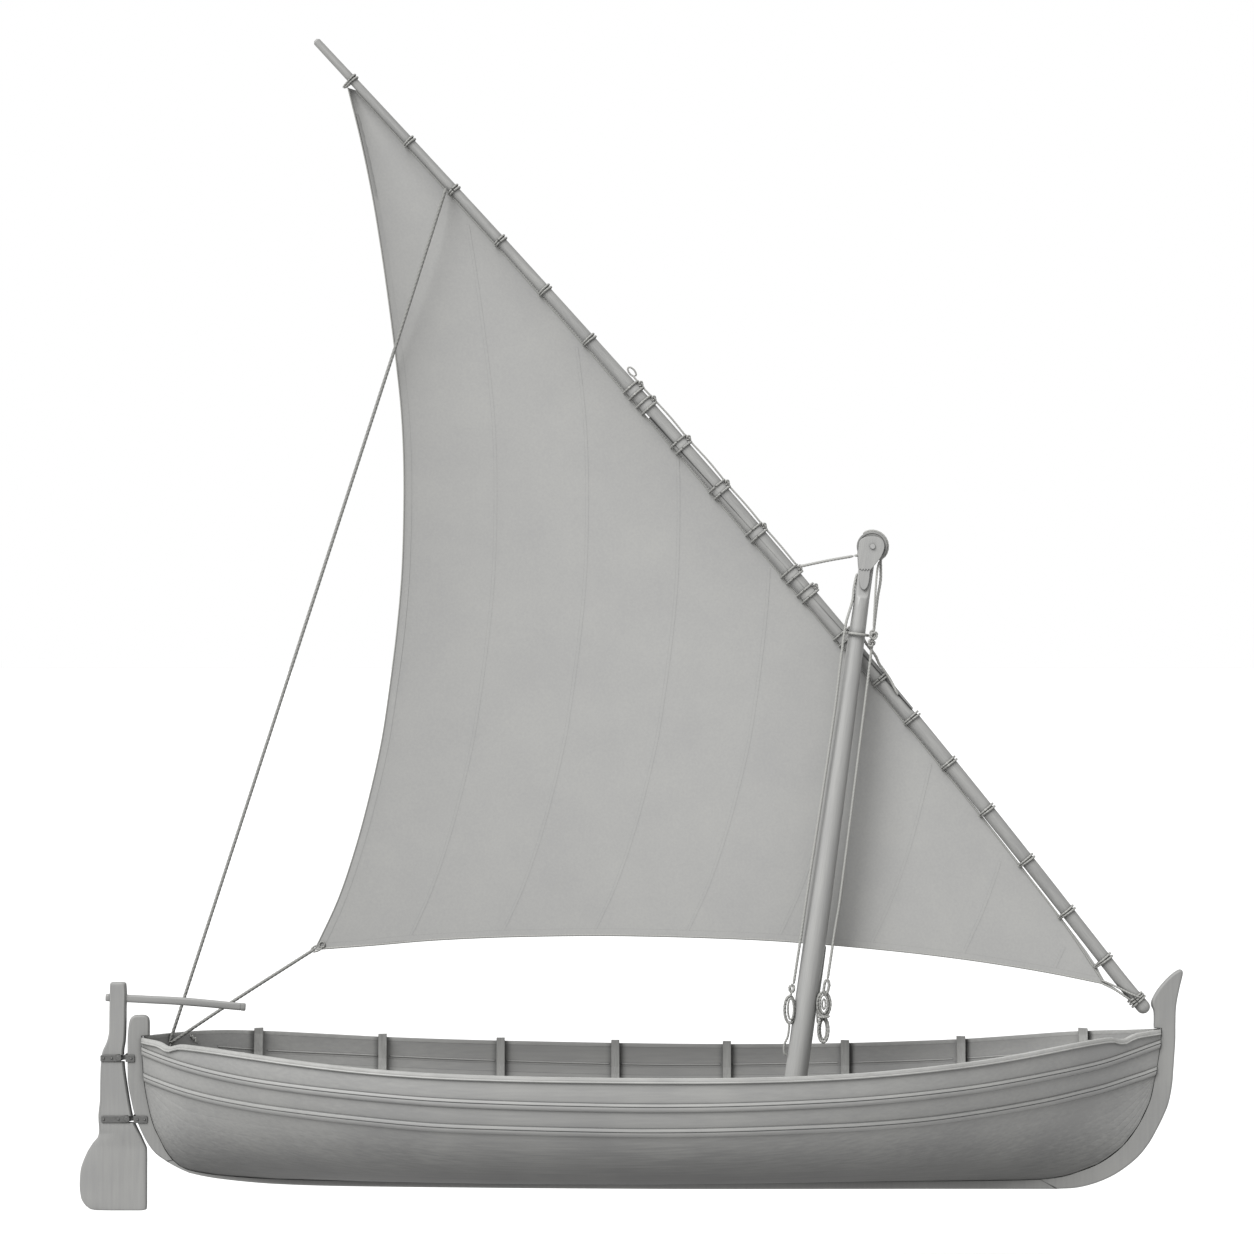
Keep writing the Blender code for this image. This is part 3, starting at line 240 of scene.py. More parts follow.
def painted(name, dark, light, rough, turn=(0.0, 0.0, 0.0), low_shade=None):
    """Flat oil paint brushed along the plank: faint streaks, soft clouding, painted shade in seams and on
    edges.

    The last argument is (height where it starts, height where it is full, factor) of painted shade low on the
    hull.
    """
    mat, tree, shader = finish(name, grey(light), rough)
    where = add(tree, "ShaderNodeTexCoord")
    lined = add(tree, "ShaderNodeMapping", {"Vector": where.outputs["Object"], "Rotation": turn})
    # Brush marks about 20 mm apart and 400 mm long, in clouds of 600 mm
    drawn = add(tree, "ShaderNodeMapping", {"Vector": lined.outputs["Vector"], "Scale": (1.2, 26.0, 26.0)})
    brush = add(tree, "ShaderNodeTexNoise", {"Vector": drawn.outputs["Vector"], "Scale": 2.0, "Detail": 5.0,
                                             "Roughness": 0.62})
    cloud = add(tree, "ShaderNodeTexNoise", {"Vector": where.outputs["Object"], "Scale": 1.7, "Detail": 3.0})
    both = add(tree, "ShaderNodeMath", {0: brush.outputs["Fac"], 1: cloud.outputs["Fac"]}, operation="ADD")
    tone = add(tree, "ShaderNodeMapRange", {"Value": both.outputs["Value"], "From Min": 0.78,
                                            "From Max": 1.22})
    paint = add(tree, "ShaderNodeMix", {"Factor": tone.outputs["Result"], "A": grey(dark), "B": grey(light)},
                data_type="RGBA")
    colour = paint.outputs["Result"]
    # Painted shade: the hull darker towards the keel, where its bottom turns away from the light
    if low_shade:
        start, full, factor = low_shade
        height = add(tree, "ShaderNodeSeparateXYZ", {"Vector": where.outputs["Object"]})
        # The painted shade's edge wanders by up to 80 mm each way
        wander = 0.08
        ragged = add(tree, "ShaderNodeMath", {0: brush.outputs["Fac"], 1: 2 * wander}, operation="MULTIPLY")
        level = add(tree, "ShaderNodeMath", {0: height.outputs["Z"], 1: ragged.outputs["Value"]},
                    operation="ADD")
        low = add(tree, "ShaderNodeMapRange", {"Value": level.outputs["Value"], "From Min": start + wander,
                                               "From Max": full + wander}, interpolation_type="SMOOTHSTEP")
        shaded_low = add(tree, "ShaderNodeMix", {"Factor": low.outputs["Result"], "A": colour,
                                             "B": flat_grey(factor)}, data_type="RGBA",
                     blend_type="MULTIPLY")
        colour = shaded_low.outputs["Result"]
    shade_corners_and_edges(tree, shader, colour, 0.24, 0.050, 0.55, 0.006)
    uneven = add(tree, "ShaderNodeMapRange", {"Value": brush.outputs["Fac"], "To Min": rough - 0.08,
                                              "To Max": rough + 0.10})
    tree.links.new(uneven.outputs["Result"], shader.inputs["Roughness"])
    bump = add(tree, "ShaderNodeBump", {"Height": brush.outputs["Fac"], "Strength": 0.18, "Distance": 0.0012})
    tree.links.new(bump.outputs["Normal"], shader.inputs["Normal"])
    return mat


def timber(name, dark, light, rough, turn=(0.0, 0.0, 0.0), grain=14.0):
    """Oiled or scraped wood: long grain, darker years, pores as relief, painted shade in corners and on
    edges.
    """
    mat, tree, shader = finish(name, grey(light), rough)
    where = add(tree, "ShaderNodeTexCoord")
    lined = add(tree, "ShaderNodeMapping", {"Vector": where.outputs["Object"], "Rotation": turn})
    # Years 45 mm apart, or 80 mm on the turned spars, and pores 5 mm apart: true sizes are too fine to show
    wide = add(tree, "ShaderNodeMapping", {"Vector": lined.outputs["Vector"], "Scale": (0.7, grain, grain)})
    fine = add(tree, "ShaderNodeMapping", {"Vector": lined.outputs["Vector"], "Scale": (2.0, 80.0, 80.0)})
    years = add(tree, "ShaderNodeTexNoise", {"Vector": wide.outputs["Vector"], "Scale": 1.6, "Detail": 5.0,
                                             "Roughness": 0.6, "Distortion": 0.4})
    pores = add(tree, "ShaderNodeTexNoise", {"Vector": fine.outputs["Vector"], "Scale": 2.5, "Detail": 4.0})
    both = add(tree, "ShaderNodeMath", {0: years.outputs["Fac"], 1: pores.outputs["Fac"]}, operation="ADD")
    tone = add(tree, "ShaderNodeMapRange", {"Value": both.outputs["Value"], "From Min": 0.75,
                                            "From Max": 1.25})
    wood = add(tree, "ShaderNodeMix", {"Factor": tone.outputs["Result"], "A": grey(dark), "B": grey(light)},
               data_type="RGBA")
    shade_corners_and_edges(tree, shader, wood.outputs["Result"], 0.42, 0.040, 0.55, 0.006)
    uneven = add(tree, "ShaderNodeMapRange", {"Value": years.outputs["Fac"], "To Min": rough - 0.10,
                                              "To Max": rough + 0.08})
    tree.links.new(uneven.outputs["Result"], shader.inputs["Roughness"])
    bump = add(tree, "ShaderNodeBump", {"Height": pores.outputs["Fac"], "Strength": 0.22, "Distance": 0.0012})
    tree.links.new(bump.outputs["Normal"], shader.inputs["Normal"])
    return mat


UPRIGHT = (0.0, math.radians(90.0), 0.0)
# Flat grey boat paint on the topsides, brushed along the planks: what the eye reads first
TOPSIDE = painted("grey_topside_paint", "#6a6a69", "#737371", 0.58)
# The same paint below the lower wale, duller and streaked, with painted shade darker towards the keel
BOTTOM = painted("grey_bottom_paint", "#686867", "#737371", 0.66, low_shade=(0.24, -0.20, 0.46))
# Lighter paint on the rail: painted light, for the rail's top that faces the light
RAIL_PAINT = painted("pale_rail_paint", "#737371", "#80807e", 0.50)
# Paint on stem, sternpost and rudder, brushed along the post rather than along the boat
POST_PAINT = painted("grey_post_paint", "#60605f", "#686866", 0.58, UPRIGHT)
# The rudder, lifted off and repainted more often, is a shade lighter
RUDDER_PAINT = painted("grey_rudder_paint", "#656564", "#6d6d6b", 0.58, UPRIGHT)
# Oiled pine inside the hull: thwarts and boards, a wider spread of tone than the paint and open in grain
INSIDE_WOOD = timber("oiled_pine", "#636361", "#757572", 0.64)
# Frames stand on end, so their grain runs upwards
FRAME_WOOD = timber("oiled_pine_upright", "#6c6c6a", "#7d7d7b", 0.64, UPRIGHT)
# Scraped and oiled spruce of the mast, smooth with long grain
MAST_WOOD = timber("scraped_spruce_mast", "#717170", "#7b7b79", 0.52, (0.0, math.radians(82.0), 0.0), 8.0)
# The same spruce on the yard, handled more and so slightly duller
YARD_WOOD = timber("scraped_spruce_yard", "#656564", "#737371", 0.54, (0.0, math.radians(-49.4), 0.0), 8.0)
# Tiller polished by the hand
TILLER_WOOD = timber("handled_ash", "#626261", "#6e6e6c", 0.46)


def sailcloth():
    """Woven cotton duck: a fine weave, soft clouding from use, painted shade in folds and along edges."""
    mat, tree, shader = finish("cotton_duck", grey("#828280"), 0.88)
    where = add(tree, "ShaderNodeTexCoord")
    # The weave is drawn at 5 mm and its slubs at 17 mm, since the true 1 mm thread is too fine to show
    warp = add(tree, "ShaderNodeTexWave", {"Vector": where.outputs["Object"], "Scale": 60.0,
                                           "Distortion": 0.6}, bands_direction="X")
    weft = add(tree, "ShaderNodeTexWave", {"Vector": where.outputs["Object"], "Scale": 60.0,
                                           "Distortion": 0.6}, bands_direction="Z")
    weave = add(tree, "ShaderNodeMath", {0: warp.outputs["Fac"], 1: weft.outputs["Fac"]},
                operation="MULTIPLY")
    cloud = add(tree, "ShaderNodeTexNoise", {"Vector": where.outputs["Object"], "Scale": 2.2, "Detail": 5.0,
                                             "Roughness": 0.6})
    slub = add(tree, "ShaderNodeTexNoise", {"Vector": where.outputs["Object"], "Scale": 60.0, "Detail": 3.0})
    both = add(tree, "ShaderNodeMath", {0: cloud.outputs["Fac"], 1: slub.outputs["Fac"]}, operation="ADD")
    tone = add(tree, "ShaderNodeMapRange", {"Value": both.outputs["Value"], "From Min": 0.70,
                                            "From Max": 1.30})
    cloth = add(tree, "ShaderNodeMix", {"Factor": tone.outputs["Result"], "A": grey("#747473"),
                                        "B": grey("#7a7a78")}, data_type="RGBA")
    shade_corners_and_edges(tree, shader, cloth.outputs["Result"], 0.62, 0.060, 0.75, 0.003)
    shader.inputs["Sheen Weight"].default_value = 0.15
    bump = add(tree, "ShaderNodeBump", {"Height": weave.outputs["Value"], "Strength": 0.12,
                                        "Distance": 0.0010})
    tree.links.new(bump.outputs["Normal"], shader.inputs["Normal"])
    return mat


def cordage(name, dark, light):
    """Laid hemp rope: fibres along each strand, painted shade between the strands, fuzzy and matte."""
    mat, tree, shader = finish(name, grey(light), 0.90)
    lay = add(tree, "ShaderNodeTexCoord")
    # Fibres 11 mm long along the strand: the true hair is too fine to show
    drawn = add(tree, "ShaderNodeMapping", {"Vector": lay.outputs["UV"], "Scale": (30.0, 300.0, 1.0)})
    fibre = add(tree, "ShaderNodeTexNoise", {"Vector": drawn.outputs["Vector"], "Scale": 3.0, "Detail": 3.0})
    tone = add(tree, "ShaderNodeMapRange", {"Value": fibre.outputs["Fac"], "From Min": 0.30,
                                            "From Max": 0.70})
    hemp = add(tree, "ShaderNodeMix", {"Factor": tone.outputs["Result"], "A": grey(dark), "B": grey(light)},
               data_type="RGBA")
    shade_corners_and_edges(tree, shader, hemp.outputs["Result"], 0.34, 0.010, 0.85, 0.002)
    bump = add(tree, "ShaderNodeBump", {"Height": fibre.outputs["Fac"], "Strength": 0.35, "Distance": 0.0008})
    tree.links.new(bump.outputs["Normal"], shader.inputs["Normal"])
    return mat


def iron(name, dark, light):
    """Galvanised iron: dull zinc spangle, with painted shade at the edges and in corners."""
    mat, tree, shader = finish(name, grey(light), 0.48, 0.45)
    where = add(tree, "ShaderNodeTexCoord")
    # Zinc spangle 8 mm across, dulled in patches of 36 mm
    spangle = add(tree, "ShaderNodeTexVoronoi", {"Vector": where.outputs["Object"], "Scale": 120.0})
    cloud = add(tree, "ShaderNodeTexNoise", {"Vector": where.outputs["Object"], "Scale": 28.0, "Detail": 4.0})
    both = add(tree, "ShaderNodeMath", {0: spangle.outputs["Distance"], 1: cloud.outputs["Fac"]},
               operation="ADD")
    tone = add(tree, "ShaderNodeMapRange", {"Value": both.outputs["Value"], "From Min": 0.45,
                                            "From Max": 1.05})
    zinc = add(tree, "ShaderNodeMix", {"Factor": tone.outputs["Result"], "A": grey(dark), "B": grey(light)},
               data_type="RGBA")
    shade_corners_and_edges(tree, shader, zinc.outputs["Result"], 0.40, 0.025, 0.60, 0.003)
    bump = add(tree, "ShaderNodeBump", {"Height": cloud.outputs["Fac"], "Strength": 0.30, "Distance": 0.0010})
    tree.links.new(bump.outputs["Normal"], shader.inputs["Normal"])
    return mat


def studio_paint():
    """Matte studio paint, without pattern but for the finest unevenness."""
    mat, tree, shader = finish("pale_studio_paint", grey("#bdbdbd"), 0.95)
    where = add(tree, "ShaderNodeTexCoord")
    fine = add(tree, "ShaderNodeTexNoise", {"Vector": where.outputs["Object"], "Scale": 0.6})
    tone = add(tree, "ShaderNodeMix", {"Factor": fine.outputs["Fac"], "A": grey("#bababa"),
                                       "B": grey("#c1c1c1")}, data_type="RGBA")
    tree.links.new(tone.outputs["Result"], shader.inputs["Base Color"])
    return mat


SAILCLOTH = sailcloth()
# Halyard, lashings and edge ropes: clean pale hemp
CORDAGE = cordage("laid_hemp_rope", "#70706d", "#888885")
# Vang and sheet: the same rope, handled more and dirtier
HANDLED_CORDAGE = cordage("handled_hemp_rope", "#60605e", "#757572")
# Straps of the rudder, dull and dark; the sheave's bolt is worn brighter
IRON = iron("galvanised_iron", "#3f3f3e", "#4f4f4e")
BRIGHT_IRON = iron("worn_iron", "#737372", "#888887")
STUDIO_FLOOR = studio_paint()


# Mesh helpers
def piece(name, verts, faces, finish_, body, angle, uvs=None):
    """A closed mesh object that rides on a body, sharp where its faces turn by more than the angle."""
    mesh = bpy.data.meshes.new(name)
    mesh.from_pydata([tuple(v) for v in verts], [], faces)
    if uvs is not None:
        layer = mesh.uv_layers.new(name="lay")
        layer.data.foreach_set("uv", [c for face in uvs for corner in face for c in corner])
    work = bmesh.new()
    work.from_mesh(mesh)
    bmesh.ops.recalc_face_normals(work, faces=work.faces)
    work.to_mesh(mesh)
    work.free()
    mesh.materials.append(finish_)
    obj = bpy.data.objects.new(name, mesh)
    bpy.context.scene.collection.objects.link(obj)
    mesh.shade_smooth()
    mesh.set_sharp_from_angle(angle=math.radians(angle))
    if body:
        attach(obj, body)
    return obj


def skinned(rings, ring_loop, start=0):
    """Faces and lay coordinates of a body through equal rings, capped unless it closes on itself."""
    n = len(rings[0])
    faces, uvs = [], []
    gone = 0.0
    count = len(rings) if ring_loop else len(rings) - 1
    for i in range(count):
        k = (i + 1) % len(rings)
        step = (Vector(rings[k][0]) - Vector(rings[i][0])).length
        for j in range(n):
            m = (j + 1) % n
            faces.append((start + i * n + j, start + i * n + m, start + k * n + m, start + k * n + j))
            uvs.append(((gone, j / n), (gone, (j + 1) / n), (gone + step, (j + 1) / n), (gone + step, j / n)))
        gone += step
    if not ring_loop:
        last = start + (len(rings) - 1) * n
        faces.append(tuple(reversed(range(start, start + n))))
        uvs.append(((0.0, 0.0),) * n)
        faces.append(tuple(range(last, last + n)))
        uvs.append(((0.0, 0.0),) * n)
    return faces, uvs


def lofted(name, rings, finish_, body, angle, ring_loop=False):
    """One object lofted through equal rings."""
    verts = [p for ring in rings for p in ring]
    faces, uvs = skinned(rings, ring_loop)
    return piece(name, verts, faces, finish_, body, angle, uvs)


def several(name, bundles, finish_, body, angle, ring_loop=False):
    """One object of several separate lofts."""
    verts, faces, uvs = [], [], []
    for rings in bundles:
        more, lay = skinned(rings, ring_loop, len(verts))
        faces += more
        uvs += lay
        verts += [p for ring in rings for p in ring]
    return piece(name, verts, faces, finish_, body, angle, uvs)


def even_steps(points, step):
    """A smooth line through points, as points at even steps."""
    line = [Vector(p) for p in points]
    if len(line) > 2:
        dense = []
        for i in range(len(line) - 1):
            a, b = line[i], line[i + 1]
            before = line[i - 1] if i else a * 2 - b
            after = line[i + 2] if i + 2 < len(line) else b * 2 - a
            span = (b - a).length
            ta = (b - before) * (span / max((b - a).length + (a - before).length, 1e-9))
            tb = (after - a) * (span / max((b - a).length + (after - b).length, 1e-9))
            for k in range(16):
                t = k / 16
                dense.append(a * (2 * t ** 3 - 3 * t ** 2 + 1) + ta * (t ** 3 - 2 * t ** 2 + t)
                             + b * (3 * t ** 2 - 2 * t ** 3) + tb * (t ** 3 - t ** 2))
        line = dense + [line[-1]]
    gone = [0.0]
    for a, b in zip(line, line[1:]):
        gone.append(gone[-1] + (b - a).length)
    count = max(2, int(round(gone[-1] / step)) + 1)
    marks = np.linspace(0.0, gone[-1], count)
    cols = [np.interp(marks, gone, [p[k] for p in line]) for k in range(3)]
    return [Vector(p) for p in zip(*cols)]


def rope_rings(path, radius, closed=False, sides=12):
    """Rings of a three-strand rope along a path: three lobes that turn once in each lay."""
    rings = []
    side = None
    gone = 0.0
    count = len(path)
    for i, p in enumerate(path):
        before = path[(i - 1) % count] if closed or i else p
        after = path[(i + 1) % count] if closed or i + 1 < count else p
        ahead = (after - before).normalized()
        if side is None:
            side = ahead.cross(Vector((0.31, 0.87, 0.38))).normalized()
        side = (side - ahead * side.dot(ahead)).normalized()
        other = ahead.cross(side)
        turn = 2 * math.pi * gone / (radius * LAY)
        size = radius
        if not closed:
            # A whipped end is thinner than the rope
            near = min(i, count - 1 - i)
            size *= (0.45, 0.85)[near] if near < 2 else 1.0
        ring = []
        for k in range(sides):
            a = 2 * math.pi * k / sides
            lobe = abs(((a * 3 / (2 * math.pi)) + 0.5) % 1.0 - 0.5) * 2
            r = size * (1.0 - HOLLOW * lobe ** 1.6)
            ring.append(p + side * (r * math.cos(a + turn)) + other * (r * math.sin(a + turn)))
        rings.append(ring)
        gone += (after - p).length
    return rings


def laid_rope(name, points, body, radius=ROPE, finish_=None):
    """A laid rope from point to point."""
    path = even_steps(points, radius * LAY / 8)
    return lofted(name, rope_rings(path, radius), finish_ or CORDAGE, body, 50)


def rope_bundle(name, paths, body, radius, closed=False):
    """Several short ropes as one object."""
    bundles = []
    for points in paths:
        path = even_steps(points + [points[0]] if closed else points, radius * LAY / 6)
        path = path[:-1] if closed else path
        bundles.append(rope_rings(path, radius, closed, 9))
    return several(name, bundles, CORDAGE, body, 50, closed)


def turned(count):
    """Angles at even steps round a full turn."""
    return [2 * math.pi * k / count for k in range(count)]


# The innermost ring of a slab's flat face lies this far inside the eased edge
FACE_INSET = 0.003


def slab(outline, middle, half, ease, place=None):
    """Rings of a flat board with rounded edges, from its outline in profile, thickness and middle to port.

    ease is one radius, or one for each point of the outline.
    """
    place = place or (lambda u, v, y: Vector((u, y, v)))
    count = len(outline)
    line = [Vector((p[0], p[1])) for p in outline]
    area = sum(line[i - 1].x * line[i].y - line[i].x * line[i - 1].y for i in range(count))
    inward = []
    for i in range(count):
        before = (line[i] - line[i - 1]).normalized()
        after = (line[(i + 1) % count] - line[i]).normalized()
        along = (before + after).normalized()
        inward.append(Vector((-along.y, along.x)) * (1 if area > 0 else -1))
    eases = ease if isinstance(ease, list) else [ease] * count
    angles = [math.radians(a) for a in (0, 30, 60, 90)]
    steps = [(1.0, 0.0)] + [(1 - math.sin(a), 1 - math.cos(a)) for a in angles]
    rings = []
    for side, order in ((-1, range(5)), (1, range(4, -1, -1))):
        for k in order:
            inset, depth = steps[k]
            extra = FACE_INSET if k == 0 else 0.0
            rings.append([place(p.x + n.x * (inset * e + extra), p.y + n.y * (inset * e + extra),
                                middle + side * (half - depth * e)) for p, n, e in zip(line, inward, eases)])
    return rings


def flowing(points, step):
    """A smooth line in profile through points, at even steps."""
    return [(p.x, p.y) for p in even_steps([(u, v, 0.0) for u, v in points], step)]


def rounded_plate(u0, u1, v0, v1, radius):
    """Outline of a plate with rounded corners."""
    outline = []
    for cu, cv, start in ((u1 - radius, v1 - radius, 0), (u0 + radius, v1 - radius, 90),
                          (u0 + radius, v0 + radius, 180), (u1 - radius, v0 + radius, 270)):
        for step in range(7):
            a = math.radians(start + step * 15)
            outline.append((cu + radius * math.cos(a), cv + radius * math.sin(a)))
    return outline


# Hull surface
def between(rows, key, value, x):
    """A straight-line value between rows of (key, value)."""
    i = min(max(bisect.bisect_left(rows, x, key=lambda row: row[key]) - 1, 0), len(rows) - 2)
    a, b = rows[i], rows[i + 1]
    t = min(max((x - a[key]) / (b[key] - a[key]), 0.0), 1.0)
    return a[value] + (b[value] - a[value]) * t


RABBET_ROWS = [tuple(map(float, row)) for row in RABBET]


@functools.lru_cache(maxsize=None)
def rabbet_z(x):
    """Height of the rabbet under a station."""
    return between(RABBET_ROWS, 0, 1, x)


def rabbet_x(z, bow):
    """Station where a height meets the rabbet at one end."""
    return between(RABBET_STEM if bow else RABBET_STERN[::-1], 1, 0, z)


def within_rabbet(x, z):
    """A station drawn back to the rabbet, less the seam's gap."""
    return min(max(x, rabbet_x(z, False) + RABBET_GAP), rabbet_x(z, True) - RABBET_GAP)


def half_breadth(x, z):
    """Outside of the planking at a station and height."""
    low = rabbet_z(x) + GARBOARD_LIFT
    high = smooth("hull", RAIL, x)
    b = smooth("hull", BREADTH, x)
    u = min(max((z - low) / max(high - low, 1e-6), 0.0), 1.05)
    full = (1 - max(1 - u, 0.0) ** smooth("hull", FULL_P, x)) ** smooth("hull", FULL_Q, x)
    root = POST_HALF - 0.003
    return root + max(b - root, 0.0) * full


def surface(x, z, out, side, level=None):
    """A point at a distance outside the hull skin, along the skin's normal at the height called level."""
    e = 0.004
    at = z if level is None else level
    dx = (half_breadth(x + e, at) - half_breadth(x - e, at)) / (2 * e)
    dz = (half_breadth(x, at + e) - half_breadth(x, at - e)) / (2 * e)
    dx = max(min(dx, 1.2), -1.2)
    dz = max(min(dz, 7.0), -1.0)
    size = math.sqrt(1 + dx * dx + dz * dz)
    y = max(half_breadth(x, z) + out / size, 0.0096)
    z1 = z - out * dz / size
    x1 = x - out * dx / size
    x1 = within_rabbet(x1, z1)
    return Vector((x1, side * y, z1))


def dip(x, side):
    """The scoops in the starboard rail."""
    return 0.0 if side > 0 else sum(deep * math.exp(-(((x - at) / wide) ** 2)) for at, deep, wide in DIPS)


STATIONS = [-2.92 + i * (2.60 + 2.92) / 60 for i in range(61)]
FAN = [1 - (1 - i / 22) ** 1.5 for i in range(1, 23)]


def edge_line(column, drop, side=0):
    """A long edge of the planking as points from stern to bow, its ends found by repeated steps."""
    def z_at(x):
        return smooth("hull", column, x) - drop - (dip(x, side) if column == RAIL else 0.0)

    ends = []
    for bow in (False, True):
        x = 3.5 if bow else -3.5
        for _ in range(12):
            x = rabbet_x(z_at(x), bow) + (-0.001 if bow else 0.001)
        ends.append(x)
    aft = [STATIONS[0] + f * (ends[0] - STATIONS[0]) for f in reversed(FAN)]
    fore = [STATIONS[-1] + f * (ends[1] - STATIONS[-1]) for f in FAN]
    return [(x, z_at(x)) for x in aft + STATIONS + fore]


def rabbet_line():
    """The lowest edge of the planking, along the keel and up both posts."""
    top = edge_line(WALE_LOW, WALE_DEEP + SEAM)
    points = []
    for bow in (False, True):
        end = top[-1] if bow else top[0]
        start = STATIONS[-1] if bow else STATIONS[0]
        line = [p for p in RABBET if (p[0] > start if bow else p[0] < start)]
        line = line if bow else line[::-1]
        line = [tuple(p) for p in line if p[1] < end[1] - 0.02]
        line = np.array([(start, rabbet_z(start))] + line + [(end[0], end[1] - 0.008)])
        run = np.concatenate([[0], np.cumsum(np.hypot(*np.diff(line, axis=0).T))])
        part = [tuple(float(np.interp(f * run[-1], run, line[:, k])) for k in (0, 1))
                for f in FAN]
        points.append(part if bow else part[::-1])
    low = points[0] + [(x, rabbet_z(x)) for x in STATIONS] + points[1]
    fan = len(FAN)
    return [(x + (0.0012 if i < fan else -0.0012 if i >= len(low) - fan else 0.0), z + GARBOARD_LIFT)
            for i, (x, z) in enumerate(low)]


# Inside and outside of a plank, and a wale's moulding from its low edge: rounded under, narrow face, groove,
# then a band that leans back. Each point is a share of the height and a distance out.
PLANK_BACK = [(0.0, -PLANK), (0.5, -PLANK), (1.0, -PLANK)]
PLANK_FACE = [(0.0, -0.0012), (0.004, 0.0), (0.25, 0.0), (0.5, 0.0), (0.75, 0.0), (0.996, 0.0),
              (1.0, -0.0012)]
MOULDING = [(0.0, 0.0), (0.015, 0.0055), (0.10, 0.0125), (0.22, 0.0170), (0.36, 0.0187), (0.54, 0.0187),
            (0.60, 0.0172), (0.625, 0.0125), (0.655, 0.0125), (0.68, 0.0172), (0.72, 0.0178), (0.92, 0.0128),
            (0.985, 0.0085), (1.0, 0.0)]


def strake(low, high, outline, side):
    """Rings of planking between two long edges."""
    rings = []
    for (x0, z0), (x1, z1) in zip(low, high):
        ring = []
        for share, out in outline:
            level = z0 + (z1 - z0) * share
            ring.append(surface(x0 + (x1 - x0) * share, level, out, side, level))
        rings.append(ring)
    return rings


def side_name(side):
    return "port" if side > 0 else "starboard"


# Planks below the lower wale, narrower towards the keel, with a shallow seam between them
PLANKS_BELOW, NARROWING, SEAM_DEEP, SEAM_WIDE = 8, 1.6, 0.0004, 0.03


def bottom_plank(number, garboard, top, side):
    """One bottom plank, counted from the keel."""
    lower, upper = ((number + k) / PLANKS_BELOW for k in (0, 1))
    lower, upper = lower ** NARROWING, upper ** NARROWING
    shares = [lower + (upper - lower) * i / 4 for i in range(5)]
    face = [(shares[0], -SEAM_DEEP)] + [(s, 0.0) for s in shares] + [(shares[-1], -SEAM_DEEP)]
    face[1] = (shares[0] + (upper - lower) * SEAM_WIDE, 0.0)
    face[-2] = (shares[-1] - (upper - lower) * SEAM_WIDE, 0.0)
    return strake(garboard, top, face + [(s, -PLANK) for s in reversed(shares)], side)


# Section of the rail: a bead along the low edge that laps over the top plank, a flat face and an eased top
RAIL_SECTION = ((0.0015, 0.0006), (0.0015, -0.0095), (0.0095, -0.0100), (0.0150, -0.0080), (0.0172, -0.0040),
                (0.0165, 0.0000), (0.0140, 0.0028), (0.0122, 0.0045), (0.0128, 0.0180), (0.0108, 0.0240),
                (0.0060, 0.0272), (0.0000, 0.0280), (-0.0190, 0.0280), (-0.0235, 0.0262), (-0.0250, 0.0220),
                (-0.0250, 0.0006))


def rail_rings(rail_low, side):
    """Rings of the rail capping along the top plank's edge."""
    rings = []
    for x, z in rail_low:
        a = surface(x, z, 0.0, side)
        out = Vector((surface(x, z, 0.02, side) - a).xy).normalized()
        ring = [Vector((a.x + out.x * reach, a.y + out.y * reach, z + rise)) for reach, rise in RAIL_SECTION]
        for p in ring:
            p.x = within_rabbet(p.x, p.z)
        rings.append(ring)
    return rings


for side in (1, -1):
    where = side_name(side)
    rail_low = edge_line(RAIL, CAP_THICK, side)
    wale_up, wale_up_low = edge_line(WALE_UP, 0.0), edge_line(WALE_UP, WALE_DEEP)
    wale_low, wale_low_low = edge_line(WALE_LOW, 0.0), edge_line(WALE_LOW, WALE_DEEP)
    for name, low, high, outer, node in (
            ("sheer_plank_", wale_up, rail_low, PLANK_FACE, "sheer_strake_"),
            ("middle_plank_", wale_low, wale_up_low, PLANK_FACE, "mid_strake_"),
            ("upper_wale_moulding_", wale_up_low, wale_up, MOULDING, "upper_wale_"),
            ("lower_wale_moulding_", wale_low_low, wale_low, MOULDING, "lower_wale_")):
        rings = strake(low, high, outer + PLANK_BACK[::-1], side)
        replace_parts(lofted(name + where, rings, TOPSIDE, "hull", 30), node + where)
    garboard = rabbet_line()
    bundles = [bottom_plank(k, garboard, wale_low_low, side) for k in range(PLANKS_BELOW)]
    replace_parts(several("bottom_planks_" + where, bundles, BOTTOM, "hull", 30),
                "bottom_planking_" + where)
    capping = lofted("rail_capping_" + where, rail_rings(rail_low, side), RAIL_PAINT, "hull",
                     35)
    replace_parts(capping, "rail_cap_" + where)


# Sternpost, keel and stem: boards with eased edges outside the rabbet, and a thin web inside it
POST_EASE, RABBET_EASE = 0.013, 0.003


def rabbet_distance(u, v):
    """How far a point of the profile lies from the rabbet."""
    best = 9.0
    for (x0, z0), (x1, z1) in zip(RABBET_ROWS, RABBET_ROWS[1:]):
        run = (x1 - x0) ** 2 + (z1 - z0) ** 2
        t = min(max(((u - x0) * (x1 - x0) + (v - z0) * (z1 - z0)) / run, 0.0), 1.0)
        best = min(best, math.hypot(u - x0 - (x1 - x0) * t, v - z0 - (z1 - z0) * t))
    return best


def post_eases(outline):
    """Sharp along the rabbet, rounded along the free edges."""
    return [min(POST_EASE, RABBET_EASE + max(rabbet_distance(u, v) - 0.02, 0.0) * 0.5) for u, v in outline]


